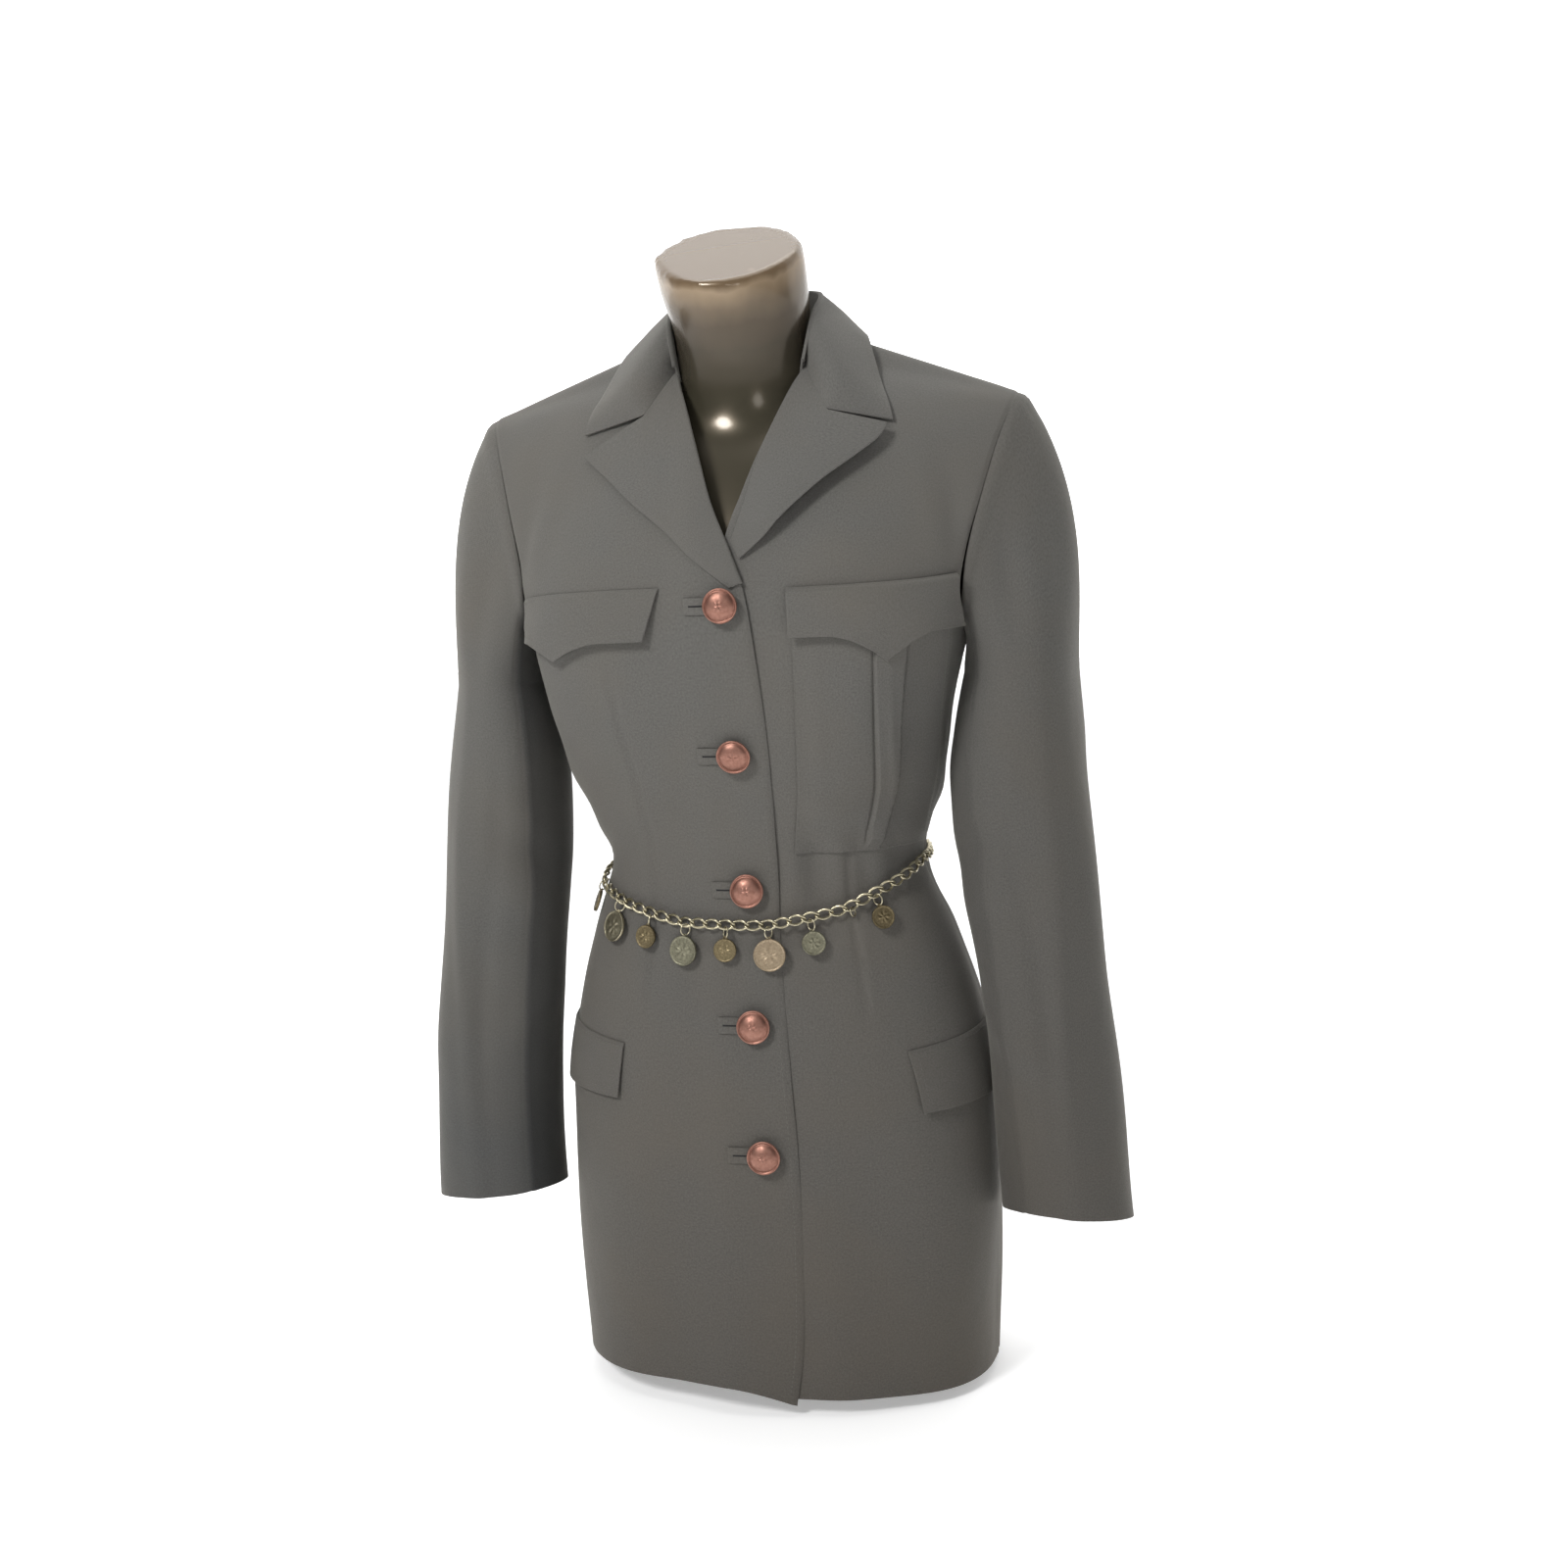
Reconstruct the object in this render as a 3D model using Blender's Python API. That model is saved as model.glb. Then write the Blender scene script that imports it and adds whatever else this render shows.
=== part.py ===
# Military jacket dress on a limbless torso form, with its chain belt.
# Tables are in millimetres, the model is in metres. +Z is up and the front faces -Y.
# The wearer's right front laps over, at -X. The origin is the flat foot of the form.
from math import asin, cos, degrees, pi, radians, sin

import bpy
import numpy as np

for old in list(bpy.data.objects):
    bpy.data.objects.remove(old)

# Driving sizes
mm = 0.001
cloth = 1.6 * mm
thin_cloth = 1.3 * mm
seam = 0.3 * mm
lap_lift = 2.2 * mm

# Body of the jacket: one row for each level from hem to shoulder seam.
# z_mid and z_side are the heights at the centre and at the side seam or armhole, half is the
# half width there, y_mid and y_side the depths, square and power shape the curve between them,
# tilt says how the height changes on the way out, and inner is where the panel starts.
front_levels = (
    (14, 8, 163, -128, -12, 2.4, 0.42, 2.0, -24),
    (60, 60, 165, -129, -12, 2.4, 0.42, 2.0, -31),
    (130, 130, 167, -128, -12, 2.4, 0.42, 2.0, -32.5),
    (200, 200, 167, -126, -12, 2.4, 0.42, 2.0, -31),
    (250, 250, 165, -122, -14, 2.35, 0.425, 2.0, -27.5),
    (300, 300, 154.5, -117, -18, 2.3, 0.435, 2.0, -24.3),
    (350, 350, 139.5, -111, -24, 2.25, 0.444, 2.0, -22.4),
    (400, 400, 121.5, -106, -30, 2.2, 0.455, 2.0, -22.9),
    (430, 430, 128.5, -108, -30, 2.2, 0.455, 2.0, -23.2),
    (465, 465, 144.5, -114, -29, 2.3, 0.435, 2.0, -24),
    (510, 510, 155, -124, -27, 2.6, 0.385, 2.0, -24.1),
    (555, 555, 163, -134, -24, 3.0, 0.333, 2.0, -22),
    (600, 575, 165, -137, -20, 3.4, 0.30, 2.0, -17),
    (618, 584, 164.5, -136, -52, 3.3, 0.40, 2.0, -12),
    (636, 604, 163.5, -133, -78, 3.0, 0.60, 2.0, -5),
    (665, 632, 167, -124, -79, 2.6, 0.80, 1.9, 9),
    (697, 662, 174, -109, -73, 2.3, 1.0, 1.7, 20),
    (730, 702, 185, -88, -58, 2.1, 1.0, 1.5, 32),
    (760, 728, 194, -63, -41, 2.0, 1.0, 1.2, 42),
    (785, 739, 198.5, -37, -26, 2.0, 1.0, 1.05, 52),
    (817, 742, 200, -12, -12, 2.0, 1.0, 1.0, 66),
)
back_levels = (
    (8, 8, 163, 100, -12, 2.4, 0.42, 2.0, 0),
    (60, 60, 165, 101, -12, 2.4, 0.42, 2.0, 0),
    (130, 130, 167, 103, -12, 2.4, 0.42, 2.0, 0),
    (200, 200, 167, 105, -12, 2.4, 0.42, 2.0, 0),
    (250, 250, 165, 103, -14, 2.35, 0.425, 2.0, 0),
    (300, 300, 154.5, 96, -18, 2.3, 0.435, 2.0, 0),
    (350, 350, 139.5, 83, -24, 2.25, 0.444, 2.0, 0),
    (400, 400, 121.5, 66, -30, 2.2, 0.455, 2.0, 0),
    (430, 430, 128.5, 66, -30, 2.2, 0.455, 2.0, 0),
    (465, 465, 144.5, 70, -29, 2.3, 0.435, 2.0, 0),
    (510, 510, 155, 78, -27, 2.6, 0.385, 2.0, 0),
    (555, 555, 163, 85, -24, 3.0, 0.333, 2.0, 0),
    (600, 575, 165, 89, -20, 3.4, 0.30, 2.0, 0),
    (618, 584, 164.5, 90, 10, 3.3, 0.40, 2.0, 0),
    (636, 604, 163.5, 90, 34, 3.0, 0.60, 2.0, 0),
    (665, 632, 165, 88, 42, 2.6, 0.80, 1.9, 0),
    (697, 662, 171, 85, 42, 2.3, 1.0, 1.7, 0),
    (732, 702, 183, 76, 33, 2.1, 1.0, 1.5, 0),
    (766, 728, 193, 59, 19, 2.0, 1.0, 1.2, 0),
    (788, 739, 198.5, 36, 3, 2.0, 1.0, 1.05, 12),
    (817, 742, 200, -12, -12, 2.0, 1.0, 1.0, 66),
)
top_level = len(front_levels) - 1
armpit_level = 12
tables = {"front": np.array(front_levels, float), "back": np.array(back_levels, float)}
other = {"front": "back", "back": "front"}


# Values between the rows of a table, on a smooth curve
def smooth(rows, at):
    last = len(rows) - 1
    i = int(min(max(at, 0), last - 1e-9))
    t = at - i
    before = rows[i - 1] if i > 0 else rows[0]
    after = rows[i + 2] if i + 2 <= last else rows[last]
    rise0 = (rows[i + 1] - before) / 2
    rise1 = (after - rows[i]) / 2
    step = rows[i + 1] - rows[i]
    return rows[i] + t * rise0 + t * t * (3 * step - 2 * rise0 - rise1) + t ** 3 * (rise0 + rise1 - 2 * step)


# One row of the body; past the shoulder seam the other side's table carries on
def level_row(face, level):
    if level > top_level - 1:
        rows = np.vstack([tables[face][-3:], tables[other[face]][-2:-1]])
        return smooth(rows, level - (top_level - 2))
    return smooth(tables[face], level)


# A point of the body's outer surface; turn is 0 at the centre and 90 degrees at the side
def body_point(face, turn, level):
    z_mid, z_side, half, y_mid, y_side, square, power, tilt, inner = level_row(face, level)
    share = abs(sin(radians(turn)))
    depth = max(1 - share ** square, 0) ** power
    x = half * sin(radians(turn))
    y = y_side + (y_mid - y_side) * depth
    z = z_mid + (z_side - z_mid) * share ** tilt
    return np.array([x, y, z]) * mm


def unit(v):
    return v / np.linalg.norm(v)


# The surface's outward direction, shared by both panels at a seam
def body_normal(face, turn, level):
    step = 0.05
    if turn > 88 and level <= armpit_level:
        mirror = body_point(other[face], 2 * 88 - turn + 2, level)
        along = mirror - body_point(face, 88, level)
    else:
        along = body_point(face, min(turn + 1, 90), level) - body_point(face, turn - 1, level)
    low = max(level - step, 0)
    if level > top_level - step:
        up = body_point(other[face], turn, top_level - step) - body_point(face, turn, top_level - step)
    else:
        up = body_point(face, turn, level + step) - body_point(face, turn, low)
    out = unit(np.cross(along, up))
    return out if face == "front" else -out


# The body seen as one round surface: turn past 90 degrees is on the back
def around(turn, level, lift=0.0):
    face, here = ("front", turn) if turn <= 90 else ("back", 180 - turn)
    return body_point(face, here, level) + lift * body_normal(face, here, level)


# The level where the surface has a given height, at one turn
def level_at(turn, z):
    low, high = 0.0, float(top_level)
    for _ in range(26):
        middle = (low + high) / 2
        face, here = ("front", turn) if turn <= 90 else ("back", 180 - turn)
        if body_point(face, here, middle)[2] < z:
            low = middle
        else:
            high = middle
    return (low + high) / 2


# The turn and level of a surface point given by its x and z, on the front
def find_front(x, z):
    low, high = 0.0, float(top_level)
    turn = 0.0
    for _ in range(26):
        middle = (low + high) / 2
        half = level_row("front", middle)[2] * mm
        turn = degrees(asin(max(-0.999, min(0.999, x / half))))
        if body_point("front", turn, middle)[2] < z:
            low = middle
        else:
            high = middle
    return turn, middle


# A point at a given x and z that stands off the front by a lift
def on_front(x, z, lift):
    aim = np.array([x, z])
    spot = aim
    for _ in range(4):
        turn, level = find_front(*spot)
        point = body_point("front", turn, level) + lift * body_normal("front", turn, level)
        spot = spot + aim - point[[0, 2]]
    return point


# Materials: colour, roughness, metallic
finishes = {
    "wool": ((0.120, 0.115, 0.098), 0.85, 0.0),
    "copper": ((0.36, 0.17, 0.12), 0.35, 1.0),
    "old_gold": ((0.50, 0.43, 0.27), 0.35, 1.0),
    "old_bronze": ((0.28, 0.22, 0.12), 0.5, 1.0),
    "form_plastic": ((0.23, 0.19, 0.15), 0.18, 0.0),
}


def material(name, finish):
    colour, roughness, metallic = finishes[finish]
    new = bpy.data.materials.new(name)
    new.use_nodes = True
    shader = new.node_tree.nodes["Principled BSDF"]
    shader.inputs["Base Color"].default_value = (*colour, 1)
    shader.inputs["Roughness"].default_value = roughness
    shader.inputs["Metallic"].default_value = metallic
    return new


# The whole figure leans a little to the wearer's left from the chest down to the hips
lean = {"from": 560 * mm, "to": 250 * mm, "shift": 6 * mm}


def leaned(point):
    t = min(max((lean["from"] - point[2]) / (lean["from"] - lean["to"]), 0), 1)
    return (point[0] + lean["shift"] * t * t * (3 - 2 * t), point[1], point[2])


# A closed mesh as one named object
def add_object(name, points, faces, finish):
    mesh = bpy.data.meshes.new(name)
    mesh.from_pydata([leaned(p) for p in points], [], faces)
    mesh.validate()
    mesh.shade_smooth()
    mesh.set_sharp_from_angle(angle=radians(40))
    mesh.materials.append(material(name, finish))
    new = bpy.data.objects.new(name, mesh)
    bpy.context.scene.collection.objects.link(new)
    return new


# Outward directions of a grid of points
def grid_normals(grid):
    along = np.gradient(grid, axis=1)
    up = np.gradient(grid, axis=0)
    out = np.cross(along, up)
    return out / np.linalg.norm(out, axis=2, keepdims=True)


# A cloth wall from a grid of outer points: rows go up, columns go so that out is along x up
def wall(name, grid, thickness, finish="wool", normals=None, mirror=False):
    grid = np.asarray(grid, float)
    normals = grid_normals(grid) if normals is None else np.asarray(normals, float)
    inside = grid - normals * thickness
    rows, cols = grid.shape[:2]
    points = np.vstack([grid.reshape(-1, 3), inside.reshape(-1, 3)])
    back = rows * cols

    def at(r, c, side=0):
        return side * back + r * cols + c

    faces = []
    for r in range(rows - 1):
        for c in range(cols - 1):
            faces.append((at(r, c), at(r, c + 1), at(r + 1, c + 1), at(r + 1, c)))
            faces.append((at(r, c, 1), at(r + 1, c, 1), at(r + 1, c + 1, 1), at(r, c + 1, 1)))
    for c in range(cols - 1):
        faces.append((at(0, c + 1), at(0, c), at(0, c, 1), at(0, c + 1, 1)))
        top = rows - 1
        faces.append((at(top, c), at(top, c + 1), at(top, c + 1, 1), at(top, c, 1)))
    for r in range(rows - 1):
        faces.append((at(r, 0), at(r + 1, 0), at(r + 1, 0, 1), at(r, 0, 1)))
        end = cols - 1
        faces.append((at(r + 1, end), at(r, end), at(r, end, 1), at(r + 1, end, 1)))
    if mirror:
        points = points * np.array([-1, 1, 1])
        faces = [f[::-1] for f in faces]
    return add_object(name, points, faces, finish)


# A solid turned about an axis: profile rows are (radius, height) from the back to the front
def turned(name, profile, sides, centre, out, finish):
    out = unit(np.array(out, float))
    across = unit(np.cross([0, 0, 1], out))
    upward = np.cross(out, across)
    points = [centre + out * profile[0][1] * mm]
    for radius, height in profile[1:-1]:
        for k in range(sides):
            angle = 2 * pi * k / sides
            ring = across * cos(angle) + upward * sin(angle)
            points.append(centre + (ring * radius + out * height) * mm)
    points.append(centre + out * profile[-1][1] * mm)
    faces = []
    rings = len(profile) - 2
    for k in range(sides):
        n = (k + 1) % sides
        faces.append((0, 1 + n, 1 + k))
        for r in range(rings - 1):
            low, high = 1 + r * sides, 1 + (r + 1) * sides
            faces.append((low + k, low + n, high + n, high + k))
        last = 1 + (rings - 1) * sides
        faces.append((last + k, last + n, len(points) - 1))
    return add_object(name, points, faces, finish)


# Front panels
front_rows = [0, 1, 2, 3, 4, 4.5, 5, 6, 6.5, 7, 7.5, 8, 9, 10, 11, 12, 13, 14, 15, 16, 16.5, 17, 18, 19, 19.5, 20]
front_columns = 12


# The right front lies over the left one near the centre
def lap(x):
    t = min(max((46 * mm - x) / (26 * mm), 0), 1)
    return lap_lift * t * t * (3 - 2 * t)


# Where the left front starts: its edge is hidden under the lap
def left_inner(level, inner):
    return max(inner, -20) if level < 13 else inner + 4 * (level < 15)


# The hem of the wearer's right side hangs higher, then dips to a point at the front edge
hem_rise = 7 * mm
hem_point = 13 * mm


def hem_shift(x):
    return hem_rise - hem_point * min(max(-x / (30 * mm), 0), 1)


def front_panel(name, laps):
    grid, normals = [], []
    for level in front_rows:
        row = level_row("front", level)
        inner = row[8] if laps else left_inner(level, row[8])
        start = degrees(asin(inner / row[2]))
        line, outs = [], []
        for c in range(front_columns):
            turn = start + (90 - start) * c / (front_columns - 1)
            point = body_point("front", turn, level)
            out = body_normal("front", turn, level)
            if laps:
                point = point + out * lap(point[0])
                if level == 0:
                    point[2] += hem_shift(point[0])
            if c == front_columns - 1:
                point[1] -= seam / 2
            if level == top_level:
                point[1] -= seam / 2
            line.append(point)
            outs.append(out)
        grid.append(line)
        normals.append(outs)
    return wall(name, grid, cloth, normals=normals, mirror=laps)


front_panel("right_front", True)
front_panel("left_front", False)

# Back panels, with a seam down the centre
back_columns = 9


def back_panel(name, mirror):
    grid, normals = [], []
    for level in front_rows:
        row = level_row("back", level)
        start = degrees(asin(max(row[8], 0) / row[2]))
        line, outs = [], []
        for c in range(back_columns):
            turn = 90 - (90 - start) * c / (back_columns - 1)
            point = body_point("back", turn, level)
            out = body_normal("back", turn, level)
            if turn < 0.01:
                point[0] += seam / 2
                out = unit(out * np.array([0, 1, 1]))
            if c == 0 or level == top_level:
                point[1] += seam / 2
            if mirror and level == 0:
                point[2] += hem_rise * turn / 90
            line.append(point)
            outs.append(out)
        grid.append(line)
        normals.append(outs)
    return wall(name, grid, cloth, normals=normals, mirror=mirror)


back_panel("left_back", False)
back_panel("right_back", True)

# Sleeves: a row for each height down the arm, with the centre, half width and half depth
sleeve_levels = np.array((
    (540, 203, -20, 36, 65),
    (500, 200.5, -28, 41.5, 59),
    (460, 199, -37, 45, 54),
    (400, 201.5, -47, 48.5, 49),
    (350, 207, -52, 48.5, 47),
    (310, 211, -55, 48.5, 46),
    (260, 217, -55, 48.5, 45),
    (200, 220, -52, 49, 44),
    (141, 221.5, -48, 49.5, 43),
), float)
sleeve_steps = (1, 2, 3, 3.5, 4, 5, 6, 7, 8)
head_steps = 5
armhole_levels = [v for v in front_rows if v >= armpit_level]


# Armhole edge from the shoulder down the front to the armpit and up the back
def armhole():
    front = [(body_point("front", 90, v), body_normal("front", 90, v)) for v in armhole_levels[::-1]]
    back = [(body_point("back", 90, v), body_normal("back", 90, v)) for v in armhole_levels[1:-1]]
    return front + back


def sleeve_ring(row, angles):
    z, x_mid, y_mid, half, deep = row
    points = []
    for angle in angles:
        x = x_mid + half * cos(angle)
        y = y_mid - deep * sin(angle)
        points.append(np.array([x, y, z - 5 * cos(angle) * (z < 200)]) * mm)
    return points


def sleeve_grid():
    loop = armhole()
    edge = np.array([p for p, n in loop])
    edge_out = np.array([n for p, n in loop])
    bottom = len(armhole_levels) - 1
    steps = np.linalg.norm(np.diff(np.vstack([edge, edge[:1]]), axis=0), axis=1)
    run = np.concatenate([[0], np.cumsum(steps)])
    angles = []
    for i in range(len(edge)):
        if i <= bottom:
            angles.append(pi * run[i] / run[bottom])
        else:
            angles.append(pi + pi * (run[i] - run[bottom]) / (run[-1] - run[bottom]))
    end = np.array(sleeve_ring(sleeve_levels[0], angles))
    start = edge + np.array([0.4 * mm, 0, 0])
    rows = [start]
    for k in range(1, head_steps + 1):
        t = k / head_steps
        ring = []
        for i, angle in enumerate(angles):
            top = (1 + cos(angle)) / 2
            leave = unit(top * np.array([1, 0, -1]) + (1 - top) * np.array([0.18, 0, -1]))
            reach = np.linalg.norm(end[i] - start[i]) * 0.30
            first = start[i] + leave * reach
            second = end[i] + np.array([-0.03, 0, 1]) * reach
            s = 1 - t
            ring.append(s ** 3 * start[i] + 3 * s * s * t * first + 3 * s * t * t * second + t ** 3 * end[i])
        rows.append(np.array(ring))
    for step in sleeve_steps:
        rows.append(np.array(sleeve_ring(smooth(sleeve_levels, step), angles)))
    grid = np.array(rows)
    closed = np.concatenate([grid[:, -1:], grid, grid[:, :1]], axis=1)
    out = grid_normals(closed)[:, 1:-1]
    for i, angle in enumerate(angles):
        share = min(max((cos(angle) + 0.45) / 0.4, 0), 1)
        out[0, i] = unit(out[0, i] * (1 - share) + edge_out[i] * share)
    return grid, out


# A sleeve is cut in two: the under sleeve faces the body
def sleeve(side, mirror):
    grid, out = sleeve_grid()
    count = grid.shape[1]
    first, last = 6, count - 6
    split = 0.75 * seam
    pieces = {
        "under_sleeve": list(range(first, last + 1)),
        "upper_sleeve": list(range(last, count)) + list(range(0, first + 1)),
    }
    for name, order in pieces.items():
        part = grid[::-1, order].copy()
        outs = out[::-1, order]
        for edge, nearby in ((0, 1), (-1, -2)):
            inward = part[:, nearby] - part[:, edge]
            inward /= np.linalg.norm(inward, axis=1, keepdims=True)
            part[:, edge] += inward * split
        wall(f"{side}_{name}", part[:, ::-1], cloth, normals=outs[:, ::-1], mirror=mirror)


sleeve("left", False)
sleeve("right", True)


# Lapels from the break up to the gorge: x from the centre and z, at the roll line, midway and
# at the outer edge; the last row follows the gorge to the notch and on to the tip
lapel_rows = {
    "right_lapel": np.array((
        (-14, 612, -10, 610.5, -6, 609),
        (-4, 638, 6, 632, 18, 628),
        (9, 668, 24, 657, 42, 650),
        (20, 700, 42, 681, 66, 669),
        (32, 732, 57, 699, 88, 688),
        (42, 754, 66, 711, 103, 700),
        (48, 767, 70, 717, 110, 706),
    ), float),
    "left_lapel": np.array((
        (8, 642, 11, 636, 14, 631),
        (12, 655, 22, 648, 33, 643),
        (16, 668, 32, 661, 48, 656),
        (24, 700, 47, 686, 74, 677),
        (35, 732, 61, 705, 96, 696),
        (44, 754, 68, 716, 107, 709),
        (48, 767, 72, 721, 113, 717),
    ), float),
}
lapel_stand = {"right_lapel": (2.1, 4.4, 3.0), "left_lapel": (2.1, 7.5, 9.0)}
lapel_along = 11
lapel_across = 7


def lapel(name, mirror):
    rows = lapel_rows[name]
    at_roll, at_middle, at_edge = lapel_stand[name]
    grid = []
    for r in range(lapel_along):
        w = r / (lapel_along - 1)
        spots = smooth(rows, w * (len(rows) - 1)).reshape(3, 2)
        opened = min(w * 3, 1)
        stands = (at_roll, at_roll + (at_middle - at_roll) * opened, at_roll + (at_edge - at_roll) * opened)
        line = []
        for c in range(lapel_across):
            h = 2 * c / (lapel_across - 1)
            x, z, stand = [np.interp(h, (0, 1, 2), values) for values in (spots[:, 0], spots[:, 1], stands)]
            over = lap(x * mm) / mm if mirror else 0
            line.append(on_front(x * mm, z * mm, (stand + over) * mm))
        grid.append(line)
    wall(name, grid, thin_cloth, mirror=mirror)


lapel("right_lapel", True)
lapel("left_lapel", False)

# Collar: from the wearer's left front end to the centre back, at the roll, midway and at the edge
collar_half = (
    (49, -58, 768, 71, -86, 727, 115, -78, 722),
    (55, -46, 800, 77, -66, 766, 107, -59, 746),
    (57, -14, 818, 78, -16, 802, 97, -15, 786),
    (50, 14, 825, 68, 23, 804, 85, 34, 769),
    (30, 30, 828, 39, 42, 805, 45, 61, 760),
    (0, 35, 829, 0, 48, 805, 0, 67, 758),
)
flip = np.array((-1, 1, 1) * 3)
collar_rows = np.array(list(collar_half) + [np.array(r) * flip for r in collar_half[-2::-1]], float)
collar_along = 21
collar_across = 5


def collar_point(w, h):
    roll, middle, edge = smooth(collar_rows, w).reshape(3, 3)
    return (roll + (middle - roll) * min(2 * h, 1) + (edge - middle) * max(2 * h - 1, 0)) * mm


def collar_fall():
    grid = []
    for r in range(collar_across):
        h = 1 - r / (collar_across - 1)
        grid.append([collar_point(w, h) for w in np.linspace(0, len(collar_rows) - 1, collar_along)])
    wall("collar_fall", grid, cloth)


# The stand rises from the neckline, inside the fall: panel, level of its foot, place along the collar
stand_rows = (
    ("front", 18.6, 0.8),
    ("front", 19, 1.1),
    ("front", 19.5, 1.55),
    ("back", 20, 2.0),
    ("back", 19.75, 2.5),
    ("back", 19.5, 3.2),
    ("back", 19.25, 4.1),
    ("back", 19, 5.0),
)
stand_inset = 2.0
stand_gap = 0.45


# A point just past the neck edge of a panel, in line with its surface
def neck_edge(face, level):
    row = level_row(face, level)
    turn = degrees(asin(row[8] / row[2]))
    point = body_point(face, turn, level)
    out = body_normal(face, turn, level)
    inward = unit(np.array([-point[0], -15 * mm - point[1], 0]))
    slide = unit(inward - out * (inward @ out))
    return point + slide * stand_gap * mm


def collar_stand():
    half = []
    for face, level, w in stand_rows:
        foot = neck_edge(face, level) / mm
        roll = collar_point(w, 0) / mm
        inward = unit(np.array([-roll[0], -15 - roll[1], 0]))
        top = roll + inward * stand_inset + np.array([0, 0, -0.5])
        half.append((foot, (foot + top) / 2, top))
    half = np.array(half)
    half[-1, :, 0] = 0
    grid = np.concatenate([half, half[-2::-1] * np.array([-1, 1, 1])])
    wall("collar_stand", grid.transpose(1, 0, 2) * mm, thin_cloth)


collar_fall()
collar_stand()

# Chest flaps: pointed at the middle, their lower edge standing off the chest
chest_flap = {"start": 16, "end": 78, "top": 607, "end_drop": 33, "tip_drop": 47, "tip_width": 0.2}
flap_columns = 11
flap_rows = 4


def flap_grid(turns, tops, bottoms, lifts):
    grid = []
    for r in range(flap_rows):
        v = r / (flap_rows - 1)
        line = []
        for turn, top, bottom in zip(turns, tops, bottoms):
            z = bottom + (top - bottom) * v
            lift = lifts[0] + (lifts[1] - lifts[0]) * (1 - v) ** 1.4
            line.append(around(turn, level_at(turn, z * mm), lift * mm))
        grid.append(line)
    return grid


def add_chest_flap(name, mirror, base, stand):
    f = chest_flap
    shares = np.linspace(0, 1, flap_columns)
    turns = f["start"] + (f["end"] - f["start"]) * shares
    reach = np.clip(1 - np.abs(shares - 0.5) / f["tip_width"] / 1.6, 0, 1) ** 1.6
    bottoms = f["top"] - f["end_drop"] - (f["tip_drop"] - f["end_drop"]) * reach
    tops = np.full(flap_columns, f["top"])
    wall(name, flap_grid(turns, tops, bottoms, (base, stand)), thin_cloth, mirror=mirror)


add_chest_flap("right_chest_flap", True, 2.2, 6.0)
add_chest_flap("left_chest_flap", False, 5.0, 7.0)

# Patch pocket on the wearer's left chest, with a box pleat down its middle
pocket = {"start": 17, "end_top": 74, "end_bottom": 82, "top": 598, "bottom": 417, "lift": 2.3}
pleat = {"start": 0.40, "end": 0.62, "raise": 1.1}
pocket_shares = (0, 0.13, 0.26, 0.395, 0.405, 0.51, 0.615, 0.625, 0.70, 0.775, 0.85, 0.925, 1.0)
pocket_rows = 10


def add_pocket():
    grid = []
    for r in range(pocket_rows):
        v = r / (pocket_rows - 1)
        z = pocket["bottom"] + (pocket["top"] - pocket["bottom"]) * v
        end = pocket["end_bottom"] + (pocket["end_top"] - pocket["end_bottom"]) * v
        line = []
        for share in pocket_shares:
            turn = pocket["start"] + (end - pocket["start"]) * share
            folded = pleat["start"] < share < pleat["end"]
            lift = pocket["lift"] + pleat["raise"] * folded
            line.append(around(turn, level_at(turn, z * mm), lift * mm))
        grid.append(line)
    wall("left_chest_pocket", grid, thin_cloth)


add_pocket()

# Hip flaps run round to the side seam and a little past it
hip_flap = {"start_top": 42.5, "start_bottom": 45.5, "end": 99, "front_top": 267, "back_top": 278, "drop": 46}


def add_hip_flap(name, mirror, raised):
    f = hip_flap
    shares = np.linspace(0, 1, flap_columns)
    grid = []
    for r in range(flap_rows):
        v = r / (flap_rows - 1)
        start = f["start_bottom"] + (f["start_top"] - f["start_bottom"]) * v
        line = []
        for share in shares:
            turn = start + (f["end"] - start) * share
            z = f["front_top"] + (f["back_top"] - f["front_top"]) * share - f["drop"] * (1 - v) + raised
            lift = 2.1 + 1.2 * (1 - v)
            line.append(around(turn, level_at(turn, z * mm), lift * mm))
        grid.append(line)
    wall(name, grid, thin_cloth, mirror=mirror)


add_hip_flap("right_hip_flap", True, 7)
add_hip_flap("left_hip_flap", False, 0)

# Buttons down the front, each over its bound buttonhole: x, z
button_places = ((0, 597), (0, 490), (0.6, 391), (1.3, 293), (7, 199))
button_profile = ((0, -0.7), (2.2, -0.7), (2.2, 0), (11.2, 0), (12.4, 0.9), (12.3, 1.8), (11.4, 2.3), (10.6, 2.0),
                  (8.2, 3.9), (4.4, 5.3), (0, 5.8))
button_sides = 12
button_lift = 4.3
welt = {"inner": -3, "outer": 27, "height": 11, "lift": 2.95, "lip": 0.3, "thick": 0.45}
lip_rows = ((-0.5, 0), (-0.25, 1), (-0.04, 0.6), (0.04, 0.6), (0.25, 1), (0.5, 0))


# A point over the right front, with x as seen from the centre
def over_lap(x, z, lift):
    point = on_front(-x * mm, z * mm, lift * mm)
    return point * np.array([-1, 1, 1])


def add_button(number, x, z):
    centre = over_lap(x, z, button_lift)
    out = body_normal("front", *find_front(-x * mm, z * mm)) * np.array([-1, 1, 1])
    turned(f"button_{number}", button_profile, button_sides, centre, out, "copper")


def add_buttonhole(number, x, z):
    grid = []
    for share, rise in lip_rows:
        line = []
        for across in np.linspace(welt["outer"], welt["inner"], 4):
            line.append(over_lap(x - across, z + share * welt["height"], welt["lift"] + rise * welt["lip"]))
        grid.append(line)
    wall(f"buttonhole_{number}", grid, welt["thick"] * mm)


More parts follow.
